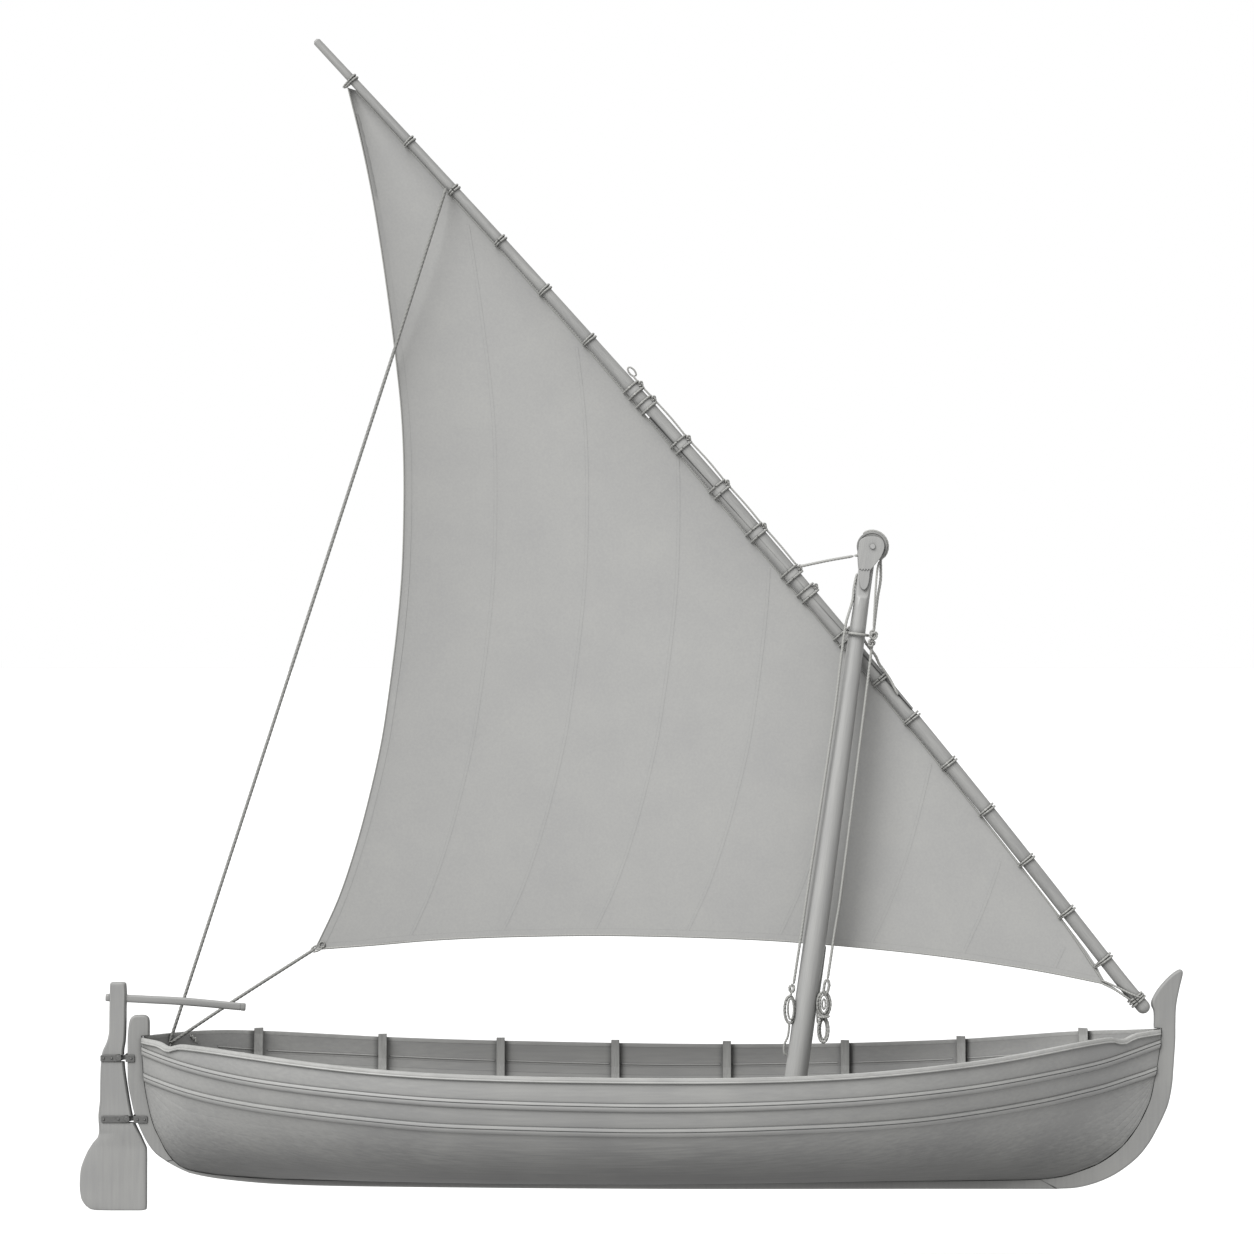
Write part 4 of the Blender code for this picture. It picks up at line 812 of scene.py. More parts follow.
posts = (
    ("carved_sternpost", "sternpost",
     flowing([(-3.426, -0.114), (-3.504, -0.057), (-3.564, 0.021), (-3.614, 0.121), (-3.653, 0.220),
              (-3.678, 0.326), (-3.697, 0.426), (-3.703, 0.504), (-3.7035, 0.620), (-3.703, 0.746),
              (-3.700, 0.800), (-3.694, 0.855), (-3.685, 0.893), (-3.672, 0.912), (-3.652, 0.9215),
              (-3.625, 0.9235), (-3.592, 0.9235), (-3.571, 0.918), (-3.556, 0.904), (-3.550, 0.882),
              (-3.549, 0.850), (-3.549, 0.776)], 0.012)
     + [(-3.600, 0.7735)] + flowing(RABBET_STERN, 0.03),
     flowing([(-3.300, -0.090), (-3.360, -0.035), (-3.400, 0.035), (-3.445, 0.105), (-3.478, 0.190),
              (-3.500, 0.280), (-3.525, 0.370), (-3.545, 0.500), (-3.555, 0.660), (-3.556, 0.762)], 0.05)
     + [(-3.606, 0.762), (-3.608, 0.650), (-3.600, 0.510), (-3.566, 0.290), (-3.517, 0.115), (-3.442, -0.035),
        (-3.383, -0.103)]),
    ("shaped_keel", "keel",
     flowing([(-3.424, -0.1155), (-3.334, -0.163), (-3.260, -0.195), (-3.050, -0.236), (-2.650, -0.274),
              (-2.000, -0.292), (0.000, -0.309), (2.000, -0.309), (2.620, -0.309), (2.890, -0.309)], 0.06)
     + flowing(RABBET_KEEL[::-1], 0.06),
     [(-3.390, -0.112), (-3.250, -0.190), (-2.000, -0.260), (0.000, -0.266), (2.745, -0.250),
      (2.745, -0.205), (2.000, -0.224), (0.000, -0.230), (-2.000, -0.224), (-3.030, -0.182),
      (-3.190, -0.150), (-3.298, -0.0915)]),
    ("carved_stem", "stem",
     flowing([(2.8905, -0.3088), (3.030, -0.300), (3.170, -0.265), (3.312, -0.200), (3.454, -0.093),
              (3.540, 0.010), (3.596, 0.107), (3.645, 0.205), (3.682, 0.298), (3.708, 0.430), (3.717, 0.540),
              (3.724, 0.640), (3.731, 0.750), (3.732, 0.860), (3.736, 0.980), (3.757, 1.100), (3.782, 1.205),
              (3.7845, 1.228), (3.779, 1.243), (3.765, 1.246), (3.745, 1.238), (3.700, 1.205), (3.650, 1.155),
              (3.604, 1.098), (3.574, 1.045), (3.562, 1.010), (3.565, 0.983), (3.576, 0.962), (3.581, 0.930),
              (3.581, 0.831)], 0.012)
     + [(3.630, 0.8290)] + flowing(RABBET_STEM[::-1], 0.03),
     [(3.640, 0.822), (3.636, 0.760), (3.619, 0.621), (3.593, 0.479), (3.558, 0.316), (3.473, 0.138),
      (3.359, -0.010), (3.203, -0.133), (3.010, -0.210), (2.770, -0.250), (2.746, -0.205)]
     + flowing([(2.860, -0.180), (2.940, -0.150), (3.110, -0.075), (3.270, 0.035), (3.390, 0.165),
                (3.480, 0.330), (3.523, 0.482), (3.553, 0.620), (3.573, 0.740), (3.581, 0.822)], 0.05)),
)
for name, node, outside, inside in posts:
    bundles = [slab(outside, 0.0, POST_HALF, post_eases(outside)), slab(inside, 0.0, 0.0078, 0.001)]
    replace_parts(several(name, bundles, POST_PAINT, "hull", 40), node)

# Rudder, hung on the raked line of its pintles
AXIS_UP, AXIS_DOWN = (-3.763, 0.618), (-3.706, 0.185)
RISE = Vector((AXIS_UP[0] - AXIS_DOWN[0], 0, AXIS_UP[1] - AXIS_DOWN[1])).normalized()
AHEAD = Vector((RISE.z, 0, -RISE.x))
STRAP_Z = (AXIS_UP[1], AXIS_DOWN[1])
# The rudder's fore edge is cut back behind the hinge line at each strap, this far up and down
STRAP_NOTCH, STRAP_HALF = 0.029, 0.0240


def axis_x(z):
    """Station of the hinge line at a height."""
    return AXIS_UP[0] + (AXIS_DOWN[0] - AXIS_UP[0]) * (z - AXIS_UP[1]) / (AXIS_DOWN[1] - AXIS_UP[1])


def rudder_ring(z, inset=0.0, thin=0.0):
    """Section of the rudder at a height, drawn in by inset and thinner by thin for its rounded ends.

    Its blade is flat forward of full, and thins aft of it. Below the straps it also thins towards the foot.
    """
    x = axis_x(z)
    aft = smooth("rudder", 1, z) + inset
    fore = x + smooth("rudder", 2, z) - inset
    if any(abs(z - strap) < STRAP_HALF for strap in STRAP_Z):
        fore = x - STRAP_NOTCH
    half = smooth("rudder", 3, z) - thin
    t = (RUDDER_HALF if z > 0.12 else max(0.022, RUDDER_HALF - (0.12 - z) * 0.10)) - thin
    flat = min(x + max(0.0, smooth("rudder", 2, z) - 0.035), fore - 0.020)
    full = max(min(x - 0.20, flat - 0.020), aft + 0.014)
    ring = [(aft, -half * 0.25), (aft + 0.0016, -half * 0.68), (aft + 0.0060, -half * 0.95)]
    ring += [(aft + 0.0110, -half - (t - half) * 0.05), (full, -t), ((full + flat) / 2, -t), (flat, -t)]
    ring += [(fore - 0.0160, -t), (fore - 0.0090, -t * 0.86), (fore - 0.0030, -t * 0.62), (fore, -t * 0.30)]
    return [Vector((u, v, z)) for u, v in ring] + [Vector((u, -v, z)) for u, v in reversed(ring)]


RUDDER_STEPS, RUDDER_LOW, RUDDER_TALL = 88, -0.452, 1.590
heights = [RUDDER_LOW + i * RUDDER_TALL / RUDDER_STEPS for i in range(RUDDER_STEPS + 1)]
for strap in STRAP_Z:
    heights += [strap + d for d in (-0.0244, -0.0236, 0.0236, 0.0244)]
rings = [rudder_ring(z, inset, thin) for z, inset, thin in
         ((-0.4630, 0.014, 0.007), (-0.4610, 0.006, 0.003), (-0.4570, 0.001, 0.0005))]
rings += [rudder_ring(z) for z in sorted(heights)]
for a in (20, 40, 60, 80, 90):
    # The head's dome, 20 mm deep
    rise_, fall_ = math.sin(math.radians(a)), 1 - math.cos(math.radians(a))
    ring = rudder_ring(1.138, 0.019 * fall_, 0.014 * fall_)
    rings.append([p + Vector((0.0, 0.0, 0.0195 * rise_)) for p in ring])
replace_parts(lofted("shaped_rudder", rings, RUDDER_PAINT, "rudder", 34), "rudder")


def hinge_place(height):
    """Places a point by its distance ahead of the hinge line, along it, and to port."""
    base = Vector((axis_x(height), 0, height))
    return lambda u, v, y: base + AHEAD * u + RISE * v + Vector((0, y, 0))


def level_place(height):
    """The same, level with the boat instead of square to the hinge line."""
    base = Vector((axis_x(height), 0, height))
    return lambda u, v, y: base + Vector((u, y, v))


BOLT = 0.0085


def dome(place, u, v, y, side):
    """Rings of a hammered bolt head that stands out sideways."""
    return [[place(u + BOLT * share * math.cos(a), v + BOLT * share * math.sin(a), y + side * out)
             for a in turned(16)]
            for out, share in ((-0.0015, 1.0), (0.0020, 1.0), (0.0045, 0.82), (0.0062, 0.50), (0.0070, 0.12))]


# Each hinge: a forged fork on the rudder with its pin, and a fork with an eye on the post. Distance of each
# fork's arm from the centre plane, then each hinge's reach aft and ahead and its bolts.
RUDDER_ARM, POST_ARM = 0.0393, POST_HALF + 0.0041
EYE_SECTION = ((0.0108, -0.018), (0.0198, -0.018), (0.0220, -0.0158), (0.0220, 0.0158), (0.0198, 0.018),
               (0.0108, 0.018))
for name, height, aft, fore, bolts, post_bolts in (
        ("upper", STRAP_Z[0], 0.131, 0.112, (-0.108, -0.050), (0.088,)),
        ("lower", STRAP_Z[1], 0.181, 0.146, (-0.165, -0.060), (0.076, 0.126))):
    place, level = hinge_place(height), level_place(height)
    bundles = []
    for side in (1, -1):
        plate = rounded_plate(-aft, 0.018, -0.0215, 0.0245, 0.008)
        bundles.append(slab(plate, side * RUDDER_ARM, 0.0042, 0.0018, level))
        boss = [(0.020 * math.cos(a), 0.0025 + 0.020 * math.sin(a)) for a in turned(28)]
        bundles.append(slab(boss, side * 0.0402, 0.0062, 0.0030, place))
        bundles += [dome(level, u, 0.0015, side * 0.0435, side) for u in bolts]
    bundles.append(slab(rounded_plate(-0.0312, 0.0105, 0.0240, 0.0297, 0.0020), 0.0, 0.0390, 0.0010, place))
    bundles.append([[place(r * math.cos(a), w, r * math.sin(a)) for a in turned(20)]
                    for w, r in ((-0.024, 0.0070), (-0.021, 0.0098), (0.027, 0.0098))])
    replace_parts(several("forged_pintle_" + name, bundles, IRON, "rudder", 40), "pintle_" + name)

    bundles = []
    for side in (1, -1):
        plate = rounded_plate(0.0475, fore, -0.0250, 0.0250, 0.008)
        bundles.append(slab(plate, side * POST_ARM, 0.0040, 0.0018, level))
        bundles += [dome(level, u, 0.0, side * (POST_ARM + 0.0040), side) for u in post_bolts]
    web = rounded_plate(0.0468, 0.0555, -0.0250, 0.0250, 0.0030)
    neck = rounded_plate(0.0170, 0.0500, -0.0165, 0.0165, 0.0050)
    bundles += [slab(web, 0.0, POST_ARM + 0.0030, 0.0015, place), slab(neck, 0.0, 0.0100, 0.0020, place)]
    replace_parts(several("forged_gudgeon_" + name, bundles, IRON, "hull", 40), "gudgeon_" + name)
    eye = [[place(r * math.cos(a), w, r * math.sin(a)) for r, w in EYE_SECTION] for a in turned(28)]
    lofted("gudgeon_eye_" + name, eye, IRON, "hull", 40, True)

# Tiller through the rudder's head, square with rounded corners and a turned end: station, height, breadth
# and half height
TILLER = np.array([(-3.861, 1.048, 0.0195, 0.0265), (-3.620, 1.036, 0.0195, 0.0275),
                   (-3.300, 1.019, 0.0215, 0.0280), (-2.868, 0.979, 0.0205, 0.0265)])
# How square the section is: 1 is round, 0 has sharp corners
SQUARENESS = 0.55
TILLER_UP = Vector((0.050, 0.0, 1.0)).normalized()


def squared(value):
    """A sine or cosine drawn out towards the corner of the section."""
    return math.copysign(abs(value) ** SQUARENESS, value)


def tiller_ring(x, size=1.0):
    """Section of the tiller at a station."""
    z = float(np.interp(x, [p[0] for p in bowed], [p[2] for p in bowed]))
    half_y, half_z = (float(np.interp(x, TILLER[:, 0], TILLER[:, column])) * size for column in (2, 3))
    return [Vector((x, half_y * squared(math.cos(a)), z)) + TILLER_UP * half_z * squared(math.sin(a))
            for a in turned(24)]


bowed = even_steps([(x, 0.0, z) for x, z in TILLER[:, :2]], 0.02)
rings = [tiller_ring(x, size) for x, size in ((-3.861, 0.72), (-3.8595, 0.90), (-3.855, 1.0))]
rings += [tiller_ring(-3.84 + i * 0.934 / 40) for i in range(41)]
rings += [tiller_ring(x, size) for x, size in ((-2.904, 0.93), (-2.900, 0.93), (-2.898, 1.03), (-2.874, 1.03),
                                               (-2.870, 0.95), (-2.868, 0.80))]
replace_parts(lofted("handled_tiller", rings, TILLER_WOOD, "rudder", 35), "tiller")


# Frames, thwarts and boards inside keep the solid part's shape
def eased(node, finish_, width):
    """A piece of the solid part shown as it is, edges eased where its faces turn by more than 32 degrees."""
    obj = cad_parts[node]
    obj.data.materials.clear()
    obj.data.materials.append(finish_)
    ease = obj.modifiers.new("eased_edges", "BEVEL")
    ease.width = width
    ease.segments = 3
    ease.limit_method = "ANGLE"
    ease.angle_limit = math.radians(32)
    ease.use_clamp_overlap = True
    return obj


for index in range(1, 9):
    eased("frame_%d" % index, FRAME_WOOD, 0.007)
for node in ("riser_port", "riser_starboard", "floorboards", "mast_thwart", "mid_thwart", "aft_thwart",
             "stern_bench", "mast_step"):
    eased(node, INSIDE_WOOD, 0.004)
eased("sheave_pin", BRIGHT_IRON, 0.002)

# Thin battens over the seam inside the top planks, between the frames
FRAME_X = [-2.838, -1.957, -1.092, -0.246, 0.576, 1.439, 2.268, 3.108]
BATTEN_ENDS, FRAME_HALF, BATTEN_LIFT = (-3.18, 3.36), 0.045, 0.020
BATTEN_SECTION = ((-0.0055, 0.0004), (-0.0055, 0.0035), (-0.0035, 0.0050), (0.0035, 0.0050), (0.0055, 0.0035),
                  (0.0055, 0.0004))
for side in (1, -1):
    bundles = []
    for start, end in zip([BATTEN_ENDS[0]] + FRAME_X, FRAME_X + [BATTEN_ENDS[1]]):
        rings = []
        for i in range(17):
            x = start + FRAME_HALF + (end - start - 2 * FRAME_HALF) * i / 16
            z = smooth("hull", WALE_UP, x) + BATTEN_LIFT
            rings.append([surface(x, z + up, -PLANK - deep, side) for up, deep in BATTEN_SECTION])
        bundles.append(rings)
    several("seam_battens_" + side_name(side), bundles, RAIL_PAINT, "hull", 40)


# Spars
ACROSS = Vector((1, 0, -MAST_RAKE)).normalized()
# Half thickness of the tongue between the cheeks, and of the shoulder below it
TONGUE, SHOULDER = 0.0347, 0.043
MAST_ROWS = [(-0.0822, 0.0805), (0.49, 0.0815), (1.70, 0.0812), (3.02, 0.0700), (3.38, 0.0640),
             (3.88, 0.0548)]
SPAR_SIDES = 40


def mast_x(z):
    """Station of the mast's middle line at a height."""
    return MAST_X + MAST_RAKE * (z - MAST_Z)


def mast_radius(z):
    return float(np.interp(z, [row[0] for row in MAST_ROWS], [row[1] for row in MAST_ROWS]))


def mast_ring(z, r, half=1.0, across=ACROSS):
    """Section of the mast, square to its rake, cut flat on both sides to half a thickness."""
    ring = []
    for k in range(SPAR_SIDES):
        a = 2 * math.pi * (k + 0.5) / SPAR_SIDES
        ring.append(Vector((mast_x(z), max(-half, min(half, r * math.sin(a))), z)) + across * r * math.cos(a))
    return ring


# The foot is level, on the step
rings = [mast_ring(*MAST_ROWS[0], across=Vector((1, 0, 0)))]
for i in range(60):
    z = 0.10 + i * 3.78 / 59
    rings.append(mast_ring(z, mast_radius(z) * SPAR_SHARE))
rings += [mast_ring(z, r, half) for z, r, half in
          ((3.890, 0.0545, SHOULDER), (3.905, 0.0542, TONGUE), (4.112, 0.0540, TONGUE),
           (4.120, 0.0500, TONGUE - 0.003))]
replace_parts(lofted("mast_spar", rings, MAST_WOOD, "hull", 35), "mast")

chord = Vector((YARD_B[0] - YARD_A[0], YARD_B[1] - YARD_A[1])).normalized()
normal = Vector((chord.y, -chord.x))


def in_yard_plane(px, py, aside=0.0):
    """A point of the side view in the yard's own upright plane."""
    across = (px - VIEW_MID) * VIEW_SCALE
    slew = math.tan(YARD_SLEW)
    y = (YARD_Y + (YARD_X - VIEW_X - across) * slew) / (1 + across * slew / VIEW_FAR)
    return unproject(px, py, y + aside)


def chord_point(s, offset):
    """View pixel at a distance along the yard's chord and a rise above it."""
    return (YARD_A[0] + chord.x * s + normal.x * offset, YARD_A[1] + chord.y * s + normal.y * offset)


def chord_distance(px, py):
    return (px - YARD_A[0]) * chord.x + (py - YARD_A[1]) * chord.y


def yard_centre(s):
    return in_yard_plane(*chord_point(s, smooth("yard", 1, s)))


def yard_radius(s):
    return smooth("yard", 2, s) * VIEW_SCALE / 2


def yard_axes(s):
    """Centre of the yard, its direction, level starboard and up, all square to each other."""
    here = yard_centre(s)
    along = (yard_centre(min(s + 5, YARD[-1, 0])) - yard_centre(max(s - 5, 0))).normalized()
    level = along.cross(Vector((0, 0, 1))).normalized()
    if level.y > 0:
        level = -level
    top = along.cross(level).normalized()
    return here, along, level, top if top.z > 0 else -top


def yard_ring(s, low=-1.0, high=1.0, size=1.0):
    """Section of the yard, cut flat below and above at shares of its radius."""
    here, _, level, top = yard_axes(s)
    r = yard_radius(s) * SPAR_SHARE * size
    ring = []
    for k in range(SPAR_SIDES):
        a = 2 * math.pi * (k + 0.5) / SPAR_SIDES
        v = max(low, min(high, math.sin(a)))
        ring.append(here + level * r * math.cos(a) + top * r * v)
    return ring


SCARF_DEPTH, SCARF_GAP = 0.80, 0.006


def scarf_cut(s):
    """Height of the slanting cut between the two spars, as a share of the radius."""
    t = min(max((s - SCARF[0]) / (SCARF[1] - SCARF[0]), 0.0), 1.0)
    return -SCARF_DEPTH + 2 * SCARF_DEPTH * t


rings = [yard_ring(0, size=0.55), yard_ring(2), *(yard_ring(s) for s in range(14, 497, 14))]
rings += [yard_ring(s, scarf_cut(s) + SCARF_GAP) for s in range(500, 897, 18)]
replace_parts(lofted("upper_spar", rings, YARD_WOOD, "yard", 35), "yard_upper")
rings = [yard_ring(s, -1.0, scarf_cut(s) - SCARF_GAP) for s in range(504, 901, 18)]
rings += [yard_ring(s) for s in range(904, 1265, 12)]
# A turned ball at the heel
HEEL, HEEL_R = 1272.0, 7.1
rings += [yard_ring(HEEL + HEEL_R * math.sin(math.radians(a)), size=math.cos(math.radians(a)))
          for a in (0, 18, 34, 50, 64, 76, 86)]
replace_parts(lofted("lower_spar", rings, YARD_WOOD, "yard", 35), "yard_lower")


# Sail
def curve_points(points):
    """A smooth line through view points, with the distance gone."""
    dense = even_steps([(x, y, 0.0) for x, y in points], 4.0)
    line = np.array([(p.x, p.y) for p in dense])
    return line, np.concatenate([[0], np.cumsum(np.hypot(*np.diff(line, axis=0).T))])


LEECH_LINE, FOOT_LINE = curve_points(LEECH), curve_points(FOOT)


def share_of(curve, t):
    """The point at a share of a line's length."""
    line, gone = curve
    return np.array([np.interp(t * gone[-1], gone, line[:, k]) for k in (0, 1)])


# Where the sail's edge begins and ends along the yard, and how far it hangs off, in view pixels
LUFF_FROM, LUFF_TO = 62, 1230
HANG_CLOSE, HANG_LOW, HANG_TACK = 0.15, 2.6, 4.6


def luff_point(t):
    """The sail's edge on the yard. It hangs off towards the tack, at the yard's heel."""
    s = LUFF_FROM + (LUFF_TO - LUFF_FROM) * t
    gap = HANG_CLOSE + HANG_LOW * max(0.0, (t - 0.80) / 0.20) + HANG_TACK * max(0.0, (t - 0.95) / 0.05) ** 3
    offset = smooth("yard", 1, s) - smooth("yard", 2, s) / 2 * math.cos(math.radians(15)) - gap
    return np.array(chord_point(s, offset))


# Half thickness of the cloth, depth of the sail's belly, and the share down from the peak where its
# cloth starts
SAIL_HALF, BELLY, SAIL_HEAD = 0.0014, 0.16, 0.002


def sail_view(r, c):
    """View point of the sail at shares down and across. The foot's curve fades out upwards."""
    left, right = share_of(LEECH_LINE, r), luff_point(r)
    start, end = np.array(FOOT[0], float), np.array(FOOT[-1], float)
    return left + (right - left) * c + (share_of(FOOT_LINE, c) - (start + (end - start) * c)) * r ** 3


def sail_point(r, c, aside=0.0):
    """A point of the sail: r from head to foot, c from leech to luff, aside to port."""
    px, py = sail_view(r, c)
    full = math.sin(math.pi * min(c, 1.0)) ** 0.8 * math.sin(math.pi * (0.08 + 0.80 * r)) * BELLY
    return in_yard_plane(px, py, full + aside)


ROWS, COLUMNS = 64, 56
DOWN = [SAIL_HEAD + (1 - SAIL_HEAD) * i / ROWS for i in range(ROWS + 1)]
front = [[sail_point(r, j / COLUMNS, -SAIL_HALF) for j in range(COLUMNS + 1)] for r in DOWN]
verts = [p for row in front for p in row]
count = len(verts)
verts += [p + Vector((0, 2 * SAIL_HALF, 0)) for p in verts]
wide = COLUMNS + 1
faces = []
for i in range(ROWS):
    for j in range(COLUMNS):
        a = i * wide + j
        faces.append((a, a + 1, a + 1 + wide, a + wide))
        faces.append((a + count, a + wide + count, a + 1 + wide + count, a + 1 + count))
around = list(range(wide)) + [i * wide + COLUMNS for i in range(1, ROWS + 1)]
around += [ROWS * wide + j for j in range(COLUMNS - 1, -1, -1)] + [i * wide for i in range(ROWS - 1, 0, -1)]
for a, b in zip(around, around[1:] + around[:1]):
    faces.append((a, a + count, b + count, b))
sail = piece("lateen_sail", verts, faces, SAILCLOTH, "yard", 60)
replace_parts(sail, "sail")
area = 0.0
for i in range(ROWS):
    for j in range(COLUMNS):
        a, b, c, d = front[i][j], front[i][j + 1], front[i + 1][j + 1], front[i + 1][j]
        area += ((b - a).cross(c - a).length + (c - a).cross(d - a).length) / 2
breadths = [(row[-1] - row[0]).length for row in front]


def strip(points, across, half, thick):
    """Rings of a flat strip that lies on the sail's both sides along a line of points."""
    corners = ((-half, -thick), (half, -thick), (half, thick), (-half, thick))
    return [[p + a * u + Vector((0, v, 0)) for u, v in corners] for p, a in zip(points, across)]


def sail_across(r, c):
    """Direction across the sail, from leech to luff."""
    e = 0.004
    return (sail_point(r, min(c + e, 1.0)) - sail_point(r, max(c - e, 0.0))).normalized()


# Cloths sewn side by side, parallel to the leech: each seam is a double thickness
CLOTH, CLOTHS, SEAM_HALF, SEAM_THICK = 0.66, 9, 0.011, SAIL_HALF + 0.0009
# A seam ends just short of the luff, at this share of the sail's breadth
SEAM_END = 0.985
bundles = []
for k in range(1, CLOTHS):
    places = [(r, CLOTH * k / breadth) for r, breadth in zip(DOWN, breadths)
              if CLOTH * k / breadth <= SEAM_END]
    if len(places) > 2:
        bundles.append(strip([sail_point(r, c) for r, c in places], [sail_across(r, c) for r, c in places],
                             SEAM_HALF, SEAM_THICK))
seams = several("sail_cloth_seams", bundles, SAILCLOTH, "yard", 60)

# Hems along leech and foot: distance of the middle from the edge, then half width
LEECH_HEM, FOOT_HEM, HEM_THICK = (0.030, 0.026), (0.022, 0.020), SAIL_HALF + 0.0012
edge = [sail_point(r, LEECH_HEM[0] / max(breadth, 0.2)) for r, breadth in zip(DOWN[2:], breadths[2:])]
bundles = [strip(edge, [sail_across(r, 0.02) for r in DOWN[2:]], LEECH_HEM[1], HEM_THICK)]
foot = [sail_point(1.0, j / COLUMNS) for j in range(COLUMNS + 1)]
upward = [(sail_point(0.99, j / COLUMNS) - low).normalized() for j, low in enumerate(foot)]
edge = [low + up * FOOT_HEM[0] for low, up in zip(foot, upward)]
bundles.append(strip(edge, upward, FOOT_HEM[1], HEM_THICK))
hems = several("sail_hems", bundles, SAILCLOTH, "yard", 60)

# Ropes sewn to the edges
leech_rope = laid_rope("leech_rope", [sail_point(r, 0.0) for r in DOWN[::4]], "yard", 0.0055)
foot_rope = laid_rope("foot_rope", [low + Vector((0, 0, -0.004)) for low in foot[::4]], "yard", 0.0085)
edge = [sail_point(r, 1.0) - sail_across(r, 1.0) * 0.012 for r in DOWN[::4]]
luff_rope = laid_rope("luff_rope", edge, "yard", 0.0080)


# Lashings on the yard
def swell(a, at, wide):
    """A smooth bump at an angle of a turn, 1 at its top."""
    off = abs((a - at + math.pi) % (2 * math.pi) - math.pi)
    return math.exp(-((off / wide) ** 2))


def loop_round_yard(s, clear, reach=None, lean=0.0, bumps=()):
    """A turn of rope round the yard. A reach from the centre, in metres, draws it out towards the luff."""
    here, along, level, top = yard_axes(s)
    r = yard_radius(s) * SPAR_SHARE + clear
    points = []
    for a in turned(30):
        size = r
        if reach:
            size = r + max(reach - r, 0.0) * swell(a, 1.5 * math.pi, 0.42)
        for at, rise, wide in bumps:
            size += rise * swell(a, at, wide)
        points.append(here + level * size * math.cos(a) + top * size * math.sin(a)
                      + along * lean * math.sin(a))
    return points


def knot(centre, size, ahead, up):
    """A small overhand knot as a closed path: twice round, with three crossings."""
    side = ahead.cross(up).normalized()
    points = []
    for t in turned(36):
        out = 2 + math.cos(3 * t)
        points.append(centre + ahead * size * (out * math.cos(2 * t) / 3)
                      + up * size * (out * math.sin(2 * t) / 3) + side * size * (math.sin(3 * t) / 3))
    return points


# View points where the sail is tied to the yard
ROBANDS = [(352, 80), (408, 143), (454, 190), (499, 242), (544, 291), (589, 340),
           (880, 680), (912, 718), (949, 763), (987, 810), (1027, 860), (1067, 912), (1104, 960)]
LINE = 0.0085
for number, (px, py) in enumerate(ROBANDS, 1):
    s = chord_distance(px, py)
    here, along, level, top = yard_axes(s)
    bottom = in_yard_plane(*luff_point(max((s - LUFF_FROM) / (LUFF_TO - LUFF_FROM), 0.0)))
    reach = (bottom - here).length + 0.006
    paths = [loop_round_yard(s + shift, LINE + 0.001, reach, shift * 0.002) for shift in (-1.35, 1.35)]
    rope_bundle("roband_%d" % number, paths, "yard", LINE, True)
    tied = knot(here - top * (reach + 0.002) + level * 0.010, 0.010, along, top)
    rope_bundle("roband_knot_%d" % number, [tied], "yard", LINE * 0.75, True)

# Wooldings: canvas bands round the scarf, a rope at each edge and a knot on top
WOOLDINGS = [(634, 390), (650, 402), (683, 443), (720, 489), (757, 532), (791, 575), (809, 592), (843, 638)]
BAND_STEP, BAND_THICK, BAND_ROPES = 1.1, 0.0035, (-4.3, 4.3)
BULGES = [(math.pi / 2, 0.010, 0.35), (1.5 * math.pi, 0.008, 0.3)]
for number, (px, py) in enumerate(WOOLDINGS, 1):
    s = chord_distance(px, py)
    band = []
    for step in range(-4, 5):
        rise = 1.0 + (BAND_THICK if abs(step) < 4 else 0.0) / yard_radius(s)
        band.append(yard_ring(s + step * BAND_STEP, size=rise))
    lofted("woolding_band_%d" % number, band, SAILCLOTH, "yard", 40)
    paths = [loop_round_yard(s + shift, LINE + 0.001, bumps=BULGES) for shift in BAND_ROPES]
    rope_bundle("woolding_ropes_%d" % number, paths, "yard", LINE, True)
    here, along, level, top = yard_axes(s)
    tied = knot(here + top * (yard_radius(s) + 0.018) + level * 0.01, 0.020, along, top)
    rope_bundle("woolding_knot_%d" % number, [tied], "yard", LINE * 0.8, True)

# Line along the yard's upper side, with an eye at its end: view points, and how far each stands off
YARD_LINE = ((636, 374, 1.5), (641, 384, 1.2), (650, 398, 1.6), (668, 421, 2.2), (684, 442, 1.3),
             (703, 467, 2.0), (721, 489, 1.3), (740, 512, 1.8), (758, 532, 1.3), (775, 552, 1.6),
             (792, 568, 1.2))
THIN_LINE = 0.0075
points = []
for px, py, up in YARD_LINE:
    s = chord_distance(px, py)
    here, along, level, top = yard_axes(s)
    points.append(here + top * (yard_radius(s) + 0.006 + up * VIEW_SCALE) + level * 0.006)
laid_rope("yard_line", points, "yard", THIN_LINE)
here, along, level, top = yard_axes(chord_distance(*YARD_LINE[0][:2]))
eye = here + top * (yard_radius(500) + 0.028) - along * 0.030
eye_path = [eye + along * 0.040 * math.cos(a) + top * 0.020 * math.sin(a) for a in turned(16)]
rope_bundle("yard_line_eye", [eye_path], "yard", THIN_LINE, True)


# Running rigging
def off_mast(z, degrees, clear):
    """A point off the mast's skin: 0 degrees is ahead, 90 degrees is to port."""
    r = mast_radius(z) * SPAR_SHARE + clear
    a = math.radians(degrees)
    return Vector((mast_x(z), 0, z)) + ACROSS * r * math.cos(a) + Vector((0, r * math.sin(a), 0))


def yard_skin(s, degrees, clear):
    """A point off the yard's skin: 0 degrees is towards the mast, 90 degrees is up."""
    here, _, level, top = yard_axes(s)
    r = yard_radius(s) * SPAR_SHARE + clear
    return here + level * r * math.cos(math.radians(degrees)) + top * r * math.sin(math.radians(degrees))


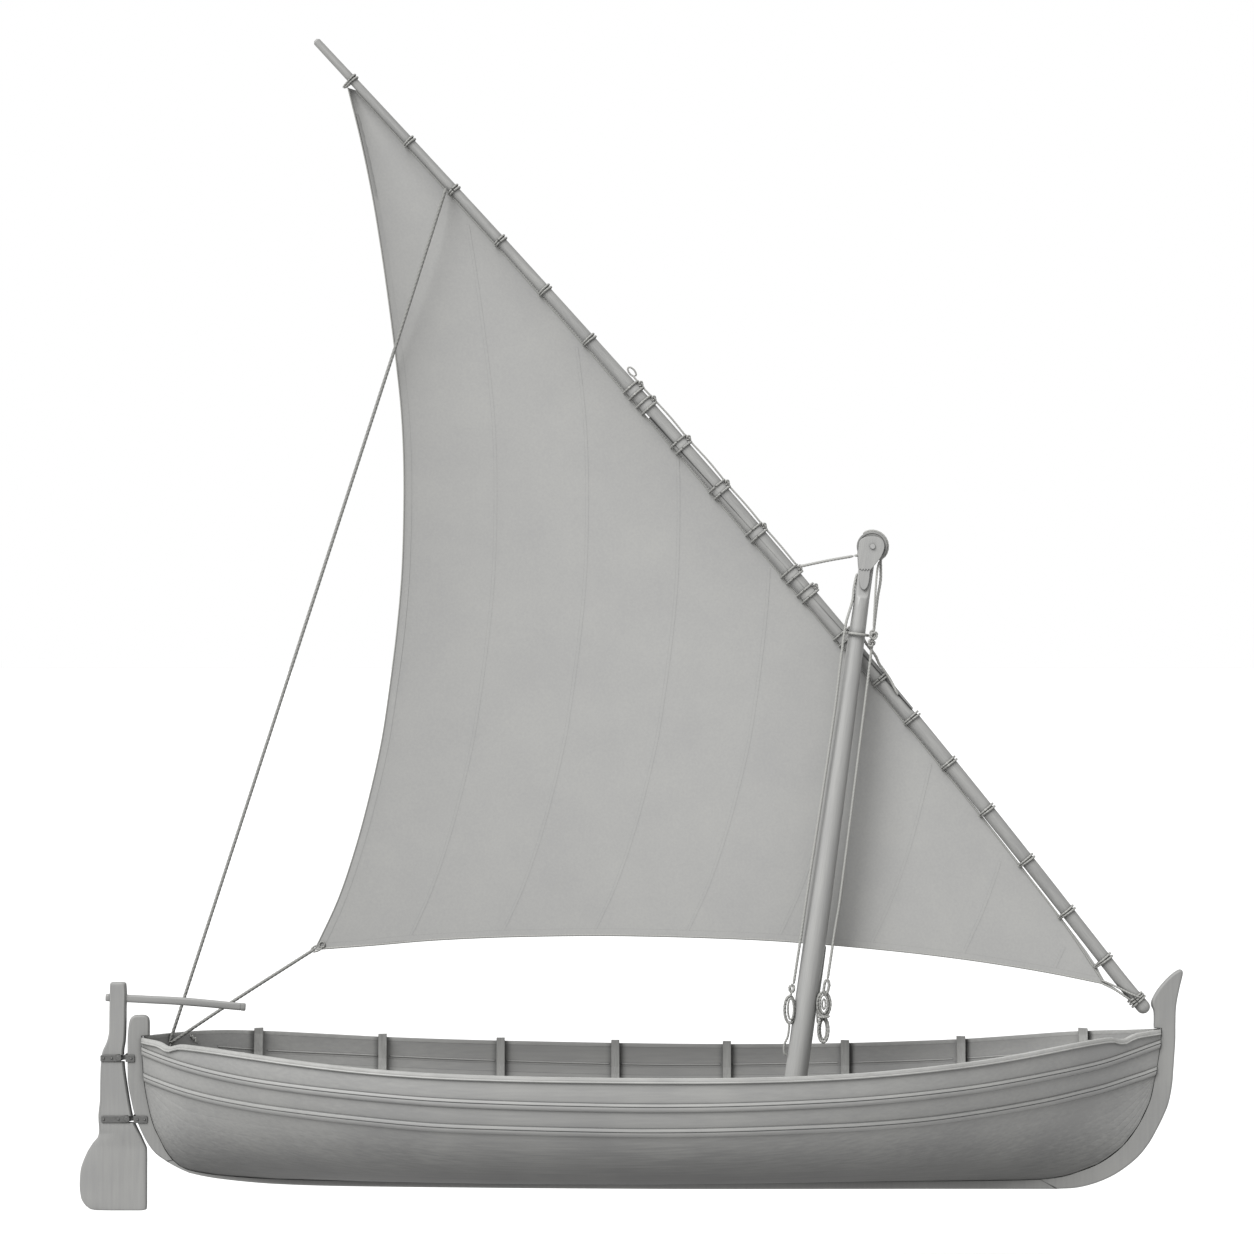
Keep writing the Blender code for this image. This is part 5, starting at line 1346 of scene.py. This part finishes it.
# A rope's middle line over the skin it lies on, and the stout rope of vang and sheet
SIT = ROPE + 0.0012
STOUT = 0.0135
PIN_VIEW = (872, 546.5)
PIN = unproject(*PIN_VIEW, 0)
tie = [unproject(853.4, 556.0, 0.024), unproject(828, 560.5, 0.07), yard_skin(713, 90, 0.0062)]
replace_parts(laid_rope("tie_rope", tie, "yard"), "halyard_tie")

# Parrel: round the mast, then along the yard's skin
PARREL_Z, PARREL_R = unproject(857, 634, 0).z, 0.078
PARREL_ON_YARD = ((832, 72, 0.022), (840, 70, 0.006), (850, 64, 0.005), (860, 52, 0.006), (868, 38, 0.0062),
                  (876, 28, 0.0022))
centre = Vector((mast_x(PARREL_Z), 0, PARREL_Z))
path = []
for degrees in (*range(150, 361, 15), 385, 405):
    a = math.radians(degrees)
    path.append(centre + ACROSS * PARREL_R * math.cos(a) + Vector((0, PARREL_R * math.sin(a), 0)))
path[0] += Vector((-0.01, 0, 0))
path.append(centre + ACROSS * 0.050 + Vector((0.004, 0.068, -0.035)))
path += [yard_skin(s, degrees, SIT + clear) for s, degrees, clear in PARREL_ON_YARD]
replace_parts(laid_rope("parrel_rope", path, "yard"), "parrel")

# Halyard's fall: over the sheave, then down ahead of the mast. Aft line: from the masthead down behind it.
GROOVE = 0.098 + SIT + 0.0006
FALL_ROUTE = ((880.8, 567, 0.004), (880.6, 580, 0.002), (877.6, 598, -0.010), (873.0, 637, -0.028),
              (864.2, 710, -0.034), (840.0, 900, -0.022), (835.0, 930, -0.024), (827.6, 979, -0.046))
AFT_ROUTE = ((845.5, 626, -0.07), (834, 716, -0.075), (806.2, 900, -0.070), (801.9, 930, -0.060),
             (793.6, 984, -0.042))
fall = [PIN + Vector((GROOVE * math.cos(math.radians(a)), 0, GROOVE * math.sin(math.radians(a))))
        for a in range(125, -56, -20)]
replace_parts(laid_rope("fall_rope", fall + [unproject(*p) for p in FALL_ROUTE], "hull"), "halyard_fall")
aft = [off_mast(4.05, 180, 0.004), off_mast(3.95, 185, SIT), off_mast(3.86, 195, SIT)]
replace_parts(laid_rope("aft_mast_rope", aft + [unproject(*p) for p in AFT_ROUTE], "hull"), "aft_line")

# Vang from the yard and sheet from the clew, made fast together inside the port quarter
stern_belay = unproject(169.5, 1043, 0.280)
vang_top = in_yard_plane(446, 188, -0.045)
route = [stern_belay, unproject(396, 345, 0.335), vang_top]
vang = laid_rope("vang_rope", route, None, STOUT, HANDLED_CORDAGE)
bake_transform(vang)
clew = sail_point(1.0, 0.0)
route = [stern_belay + Vector((0.014, -0.010, 0.004)), unproject(232, 1002, 0.37), clew]
sheet_rope = laid_rope("sheet_rope", route, None, STOUT, HANDLED_CORDAGE)
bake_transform(sheet_rope)

AHEAD_X, UP_Z = Vector((1, 0, 0)), Vector((0, 0, 1))


def hung_loop(name, points, y, radius):
    """A closed loop of rope through view points."""
    return rope_bundle(name, [[unproject(u, v, y + d) for u, v, d in points]], "hull", radius, True)


def hung_ring(name, px, py, y, half_wide, half_high, radius):
    """One turn of a rope hung up flat: an upright oval about a view point, its size in view pixels."""
    oval = [(px + half_wide * math.sin(a), py - half_high * math.cos(a), 0.004 * math.sin(2 * a))
            for a in turned(20)]
    return hung_loop(name, oval, y, radius)


# A knot where vang and sheet are made fast
tied = knot(stern_belay + Vector((-0.004, 0.004, -0.006)), 0.030, AHEAD_X, UP_Z)
rope_bundle("stern_belay_knot", [tied], "hull", 0.0100, True)

# Single ropes through view points, each with its distance to port: name, radius, route
STRANDS = (
    # The tail hung over the far rail
    ("stern_rope_tail", 0.0070, ((189.5, 1033.5, 0.440), (191.2, 1037.2, 0.436), (192.8, 1035.2, 0.440),
                                 (193.6, 1039.2, 0.436), (195.6, 1037.6, 0.440), (196.0, 1041.6, 0.436),
                                 (197.6, 1043.2, 0.440))),
    # A prop from the foremost frame to the rail
    ("bow_prop", 0.0070, ((1088.5, 1031.0, 0.345), (1093.0, 1034.0, 0.335), (1098.5, 1037.6, 0.325))),
    # The tie's short end, made fast to the masthead
    ("tie_end", ROPE, ((861.0, 554.8, 0.0), (857.8, 555.2, 0.004), (854.15, 555.8, 0.006))),
    # Second part of the halyard's fall behind its coil, and the doubled part from the sheave to the seizing
    ("fall_second_part", 0.0085, ((825.4, 946, 0.010), (822.8, 966, 0.004), (820.0, 986, -0.010),
                                  (817.9, 1000, -0.026), (817.2, 1012, -0.034), (817.4, 1023, -0.036))),
    ("fall_doubled_part", 0.0085, ((879.2, 561.5, -0.020), (877.2, 571, -0.030), (875.8, 587, -0.046),
                                   (874.6, 607, -0.058), (873.6, 627, -0.066))),
    # Lead into the aft line's coil, and its tail hooked under the rail
    ("aft_coil_lead", 0.0095, ((792.0, 991.5, -0.044), (790.6, 995.0, -0.042), (789.4, 998.0, -0.036))),
    ("aft_tail", 0.0090, ((789.2, 1021, -0.036), (788.9, 1029, -0.036), (787.6, 1037, -0.034),
                          (784.9, 1043, -0.032), (783.9, 1049, -0.030), (784.8, 1054, -0.030),
                          (787.0, 1055, -0.030))),
)
for name, radius, route in STRANDS:
    laid_rope(name, [unproject(*point) for point in route], "hull", radius)

# Rope hung up in flat turns: name, view point of the middle, distance to port, half sizes in pixels, radius.
# The halyard's fall ahead of the mast in a coil and a hanging bight, and the aft line behind it.
for row in (("fall_coil_1", 823.8, 1004.0, -0.046, 6.5, 12.0, 0.0125),
            ("fall_coil_2", 823.8, 1004.0, -0.058, 4.1, 9.2, 0.0095),
            ("fall_coil_3", 823.8, 1004.0, -0.066, 1.7, 5.2, 0.0085),
            ("fall_bight", 823.3, 1029.8, -0.044, 5.0, 12.6, 0.0125),
            ("fall_bight_inner", 823.3, 1029.4, -0.036, 3.2, 10.0, 0.0095),
            ("aft_eye", 791.8, 988.4, -0.040, 2.2, 3.6, 0.0125),
            ("aft_coil_1", 789.8, 1009.6, -0.034, 5.2, 13.6, 0.0125),
            ("aft_coil_2", 790.8, 1009.0, -0.050, 2.9, 10.8, 0.0085)):
    hung_ring(*row)
FALL_EYE = ((827.4, 979.0, 0), (829.2, 984, 0), (828.0, 990, 0), (825.8, 995.0, 0), (823.8, 992, 0),
            (824.2, 986, 0), (825.4, 981, 0))
hung_loop("fall_eye", FALL_EYE, -0.052, 0.0125)
HITCH_AT = (823.6, 1016.2, -0.052)
hitch = [unproject(HITCH_AT[0] + 5.2 * math.cos(a), HITCH_AT[1] + 1.2 * math.sin(a),
                   HITCH_AT[2] - 0.020 * math.sin(a)) for a in turned(14)]
rope_bundle("fall_hitch", [hitch], "hull", 0.0095, True)

# Seizing where the fall passes the parrel
tied = [knot(unproject(873.2, 634.5, -0.068), 0.028, AHEAD_X, UP_Z),
        knot(unproject(871.4, 643.0, -0.060), 0.024, AHEAD_X, UP_Z)]
rope_bundle("fall_seizing", tied, "hull", 0.0085, True)
SEIZING_EYE = ((875.8, 632.4, 0), (876.9, 636.0, 0), (874.6, 639.2, 0), (871.4, 637.6, 0), (871.8, 633.6, 0))
hung_loop("fall_seizing_eye", SEIZING_EYE, -0.082, 0.0080)

# Tack of the sail bowsed down to the heel of the yard: view points, each with its distance off the yard's
# plane
heel_side = -(yard_radius(1262) + 0.013)
TACK_ROUTES = (((1101, 980.0, -0.006), (1109, 983.4, -0.022), (1119, 988.0, -0.044), (1130, 993.4, heel_side),
                (1140.5, 997.6, heel_side)),
               ((1101, 983.0, -0.008), (1109, 986.6, -0.020), (1117, 991.0, -0.036), (1126, 997.0, -0.050),
                (1135.5, 1002.8, -0.030)),
               ((1101.5, 982.0, 0.008), (1111, 986.6, 0.002), (1119, 992.0, -0.018), (1127, 997.6, -0.032),
                (1134.5, 1003.6, -0.014)))
paths = [[in_yard_plane(*point) for point in route] for route in TACK_ROUTES]
rope_bundle("tack_lashing", paths, "yard", 0.0085)
HEEL_TURNS = ((1259.5, 0.004), (1262.4, 0.002), (1265.3, -0.002))
paths = [loop_round_yard(at, 0.0095, lean=lean) for at, lean in HEEL_TURNS]
rope_bundle("heel_turns", paths, "yard", 0.0088, True)

# Clew: a rope grommet in the corner and the sheet's eye spliced through it
ring_at = in_yard_plane(322.0, 944.6, -0.006)
grommet = [ring_at + AHEAD_X * 0.020 * math.cos(a) + UP_Z * 0.020 * math.sin(a) for a in turned(16)]
rope_bundle("clew_grommet", [grommet], "yard", 0.0060, True)
EYE_AT = (316.6, 948.4)
spliced = [in_yard_plane(EYE_AT[0] + 5.4 * math.cos(a), EYE_AT[1] + 2.8 * math.sin(a) - 1.6 * math.cos(a),
                         -0.012 * math.sin(a)) for a in turned(16)]
rope_bundle("sheet_eye", [spliced], "yard", 0.0085, True)

# Masthead: the sheave turns on its bolt between the cheeks. Its section as distance to port and radius.
SHEAVE = [(-0.026, 0.1055), (-0.024, 0.1078), (-0.018, 0.1065), (-0.012, 0.1010), (-0.006, 0.0985),
          (0.0, 0.098), (0.006, 0.0985), (0.012, 0.1010), (0.018, 0.1065), (0.024, 0.1078), (0.026, 0.1055),
          (0.026, 0.094), (0.022, 0.090), (0.022, 0.034), (0.026, 0.030), (0.026, 0.0135), (-0.026, 0.0135),
          (-0.026, 0.030), (-0.022, 0.034), (-0.022, 0.090), (-0.026, 0.094)]
rings = [[Vector((PIN.x + r * math.cos(a), y, PIN.z + r * math.sin(a))) for y, r in SHEAVE]
         for a in turned(64)]
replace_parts(lofted("turned_sheave", rings, YARD_WOOD, "sheave", 30, True), "sheave")

# Cheeks: a plate over the sheave with a scalloped foot, lapped over a tongue let into the mast
CHEEK = [(858.2, 547.5), (858.8, 542.8), (861.0, 539.2), (865.5, 537.1), (872.0, 536.4), (878.0, 537.4),
         (882.3, 540.6), (884.0, 545.6), (883.0, 551.4), (879.8, 558.2), (874.8, 564.6), (869.6, 570.6)]
SCALLOPS = [(868.4, 569.0), (867.0, 571.2), (865.6, 569.0), (864.2, 571.2), (862.8, 569.0), (861.4, 571.0),
            (860.0, 569.0), (858.6, 569.6), (858.0, 561.0), (857.7, 553.0)]
TONGUE_VIEW = [(858.6, 566.0), (869.6, 567.6), (869.3, 574.0), (868.6, 581.0), (866.8, 587.0), (863.8, 589.8),
               (861.0, 588.2), (859.4, 583.0), (858.8, 575.0)]
# Inner and outer faces of the cheeks, and how much lower the tongue lies
CHEEK_IN, CHEEK_OUT, TONGUE_DROP = 0.0350, 0.0600, 0.0045


def in_profile(points):
    """View points on the centre plane as an outline in profile."""
    return [(unproject(u, v, 0).x, unproject(u, v, 0).z) for u, v in points]


for side in (1, -1):
    plate = flowing(in_profile(CHEEK), 0.006) + in_profile(SCALLOPS)
    tongue = flowing(in_profile(TONGUE_VIEW + TONGUE_VIEW[:1]), 0.006)[:-1]
    bundles = [slab(board, side * (CHEEK_IN + face) / 2, (face - CHEEK_IN) / 2, ease) for board, face, ease in
               ((plate, CHEEK_OUT, 0.0035), (tongue, CHEEK_OUT - TONGUE_DROP, 0.0030))]
    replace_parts(several("carved_cheek_" + side_name(side), bundles, MAST_WOOD, "hull", 32),
                "cheek_" + side_name(side))

# Studio: the photo shows the whole boat out of the water on white, so the floor lies well under it. The floor
# reaches far behind the boat.
FLOOR_Z, FLOOR_HALF, FLOOR_BACK = -1.60, 300.0, 200.0
mesh = bpy.data.meshes.new("studio_floor")
shape = bmesh.new()
bmesh.ops.create_grid(shape, x_segments=24, y_segments=24, size=FLOOR_HALF)
shape.to_mesh(mesh)
shape.free()
floor = bpy.data.objects.new("studio_floor", mesh)
bpy.context.scene.collection.objects.link(floor)
floor.location = (0.0, FLOOR_BACK, FLOOR_Z)
mesh.materials.append(STUDIO_FLOOR)

world = bpy.data.worlds.new("studio_air")
bpy.context.scene.world = world
world.use_nodes = True
background = world.node_tree.nodes["Background"]
background.inputs["Color"].default_value = (1.0, 1.0, 1.0, 1.0)
background.inputs["Strength"].default_value = 1.0

# Key light: a very wide soft source from the stern's side, from the camera's side and from above
KEY_FROM = Vector((-0.45, -0.55, 0.70))
key = bpy.data.lights.new("key_light", "SUN")
key.energy = 6.5
key.angle = math.radians(40.0)
lamp = bpy.data.objects.new("key_light", key)
bpy.context.scene.collection.objects.link(lamp)
lamp.rotation_euler = KEY_FROM.to_track_quat("Z", "Y").to_euler()

lens = bpy.data.cameras.new("side_camera")
# The lens takes in the picture's whole side at the boat's distance
lens.sensor_width = 36.0
lens.lens = lens.sensor_width * VIEW_FAR / (VIEW_SIDE * VIEW_SCALE)
lens.clip_end = 1000.0
camera = bpy.data.objects.new("side_camera", lens)
bpy.context.scene.collection.objects.link(camera)
camera.location = (VIEW_X, -VIEW_FAR, VIEW_HIGH)
camera.rotation_euler = (math.radians(90.0), 0.0, 0.0)
bpy.context.scene.camera = camera
bpy.context.scene.view_settings.view_transform = "Standard"
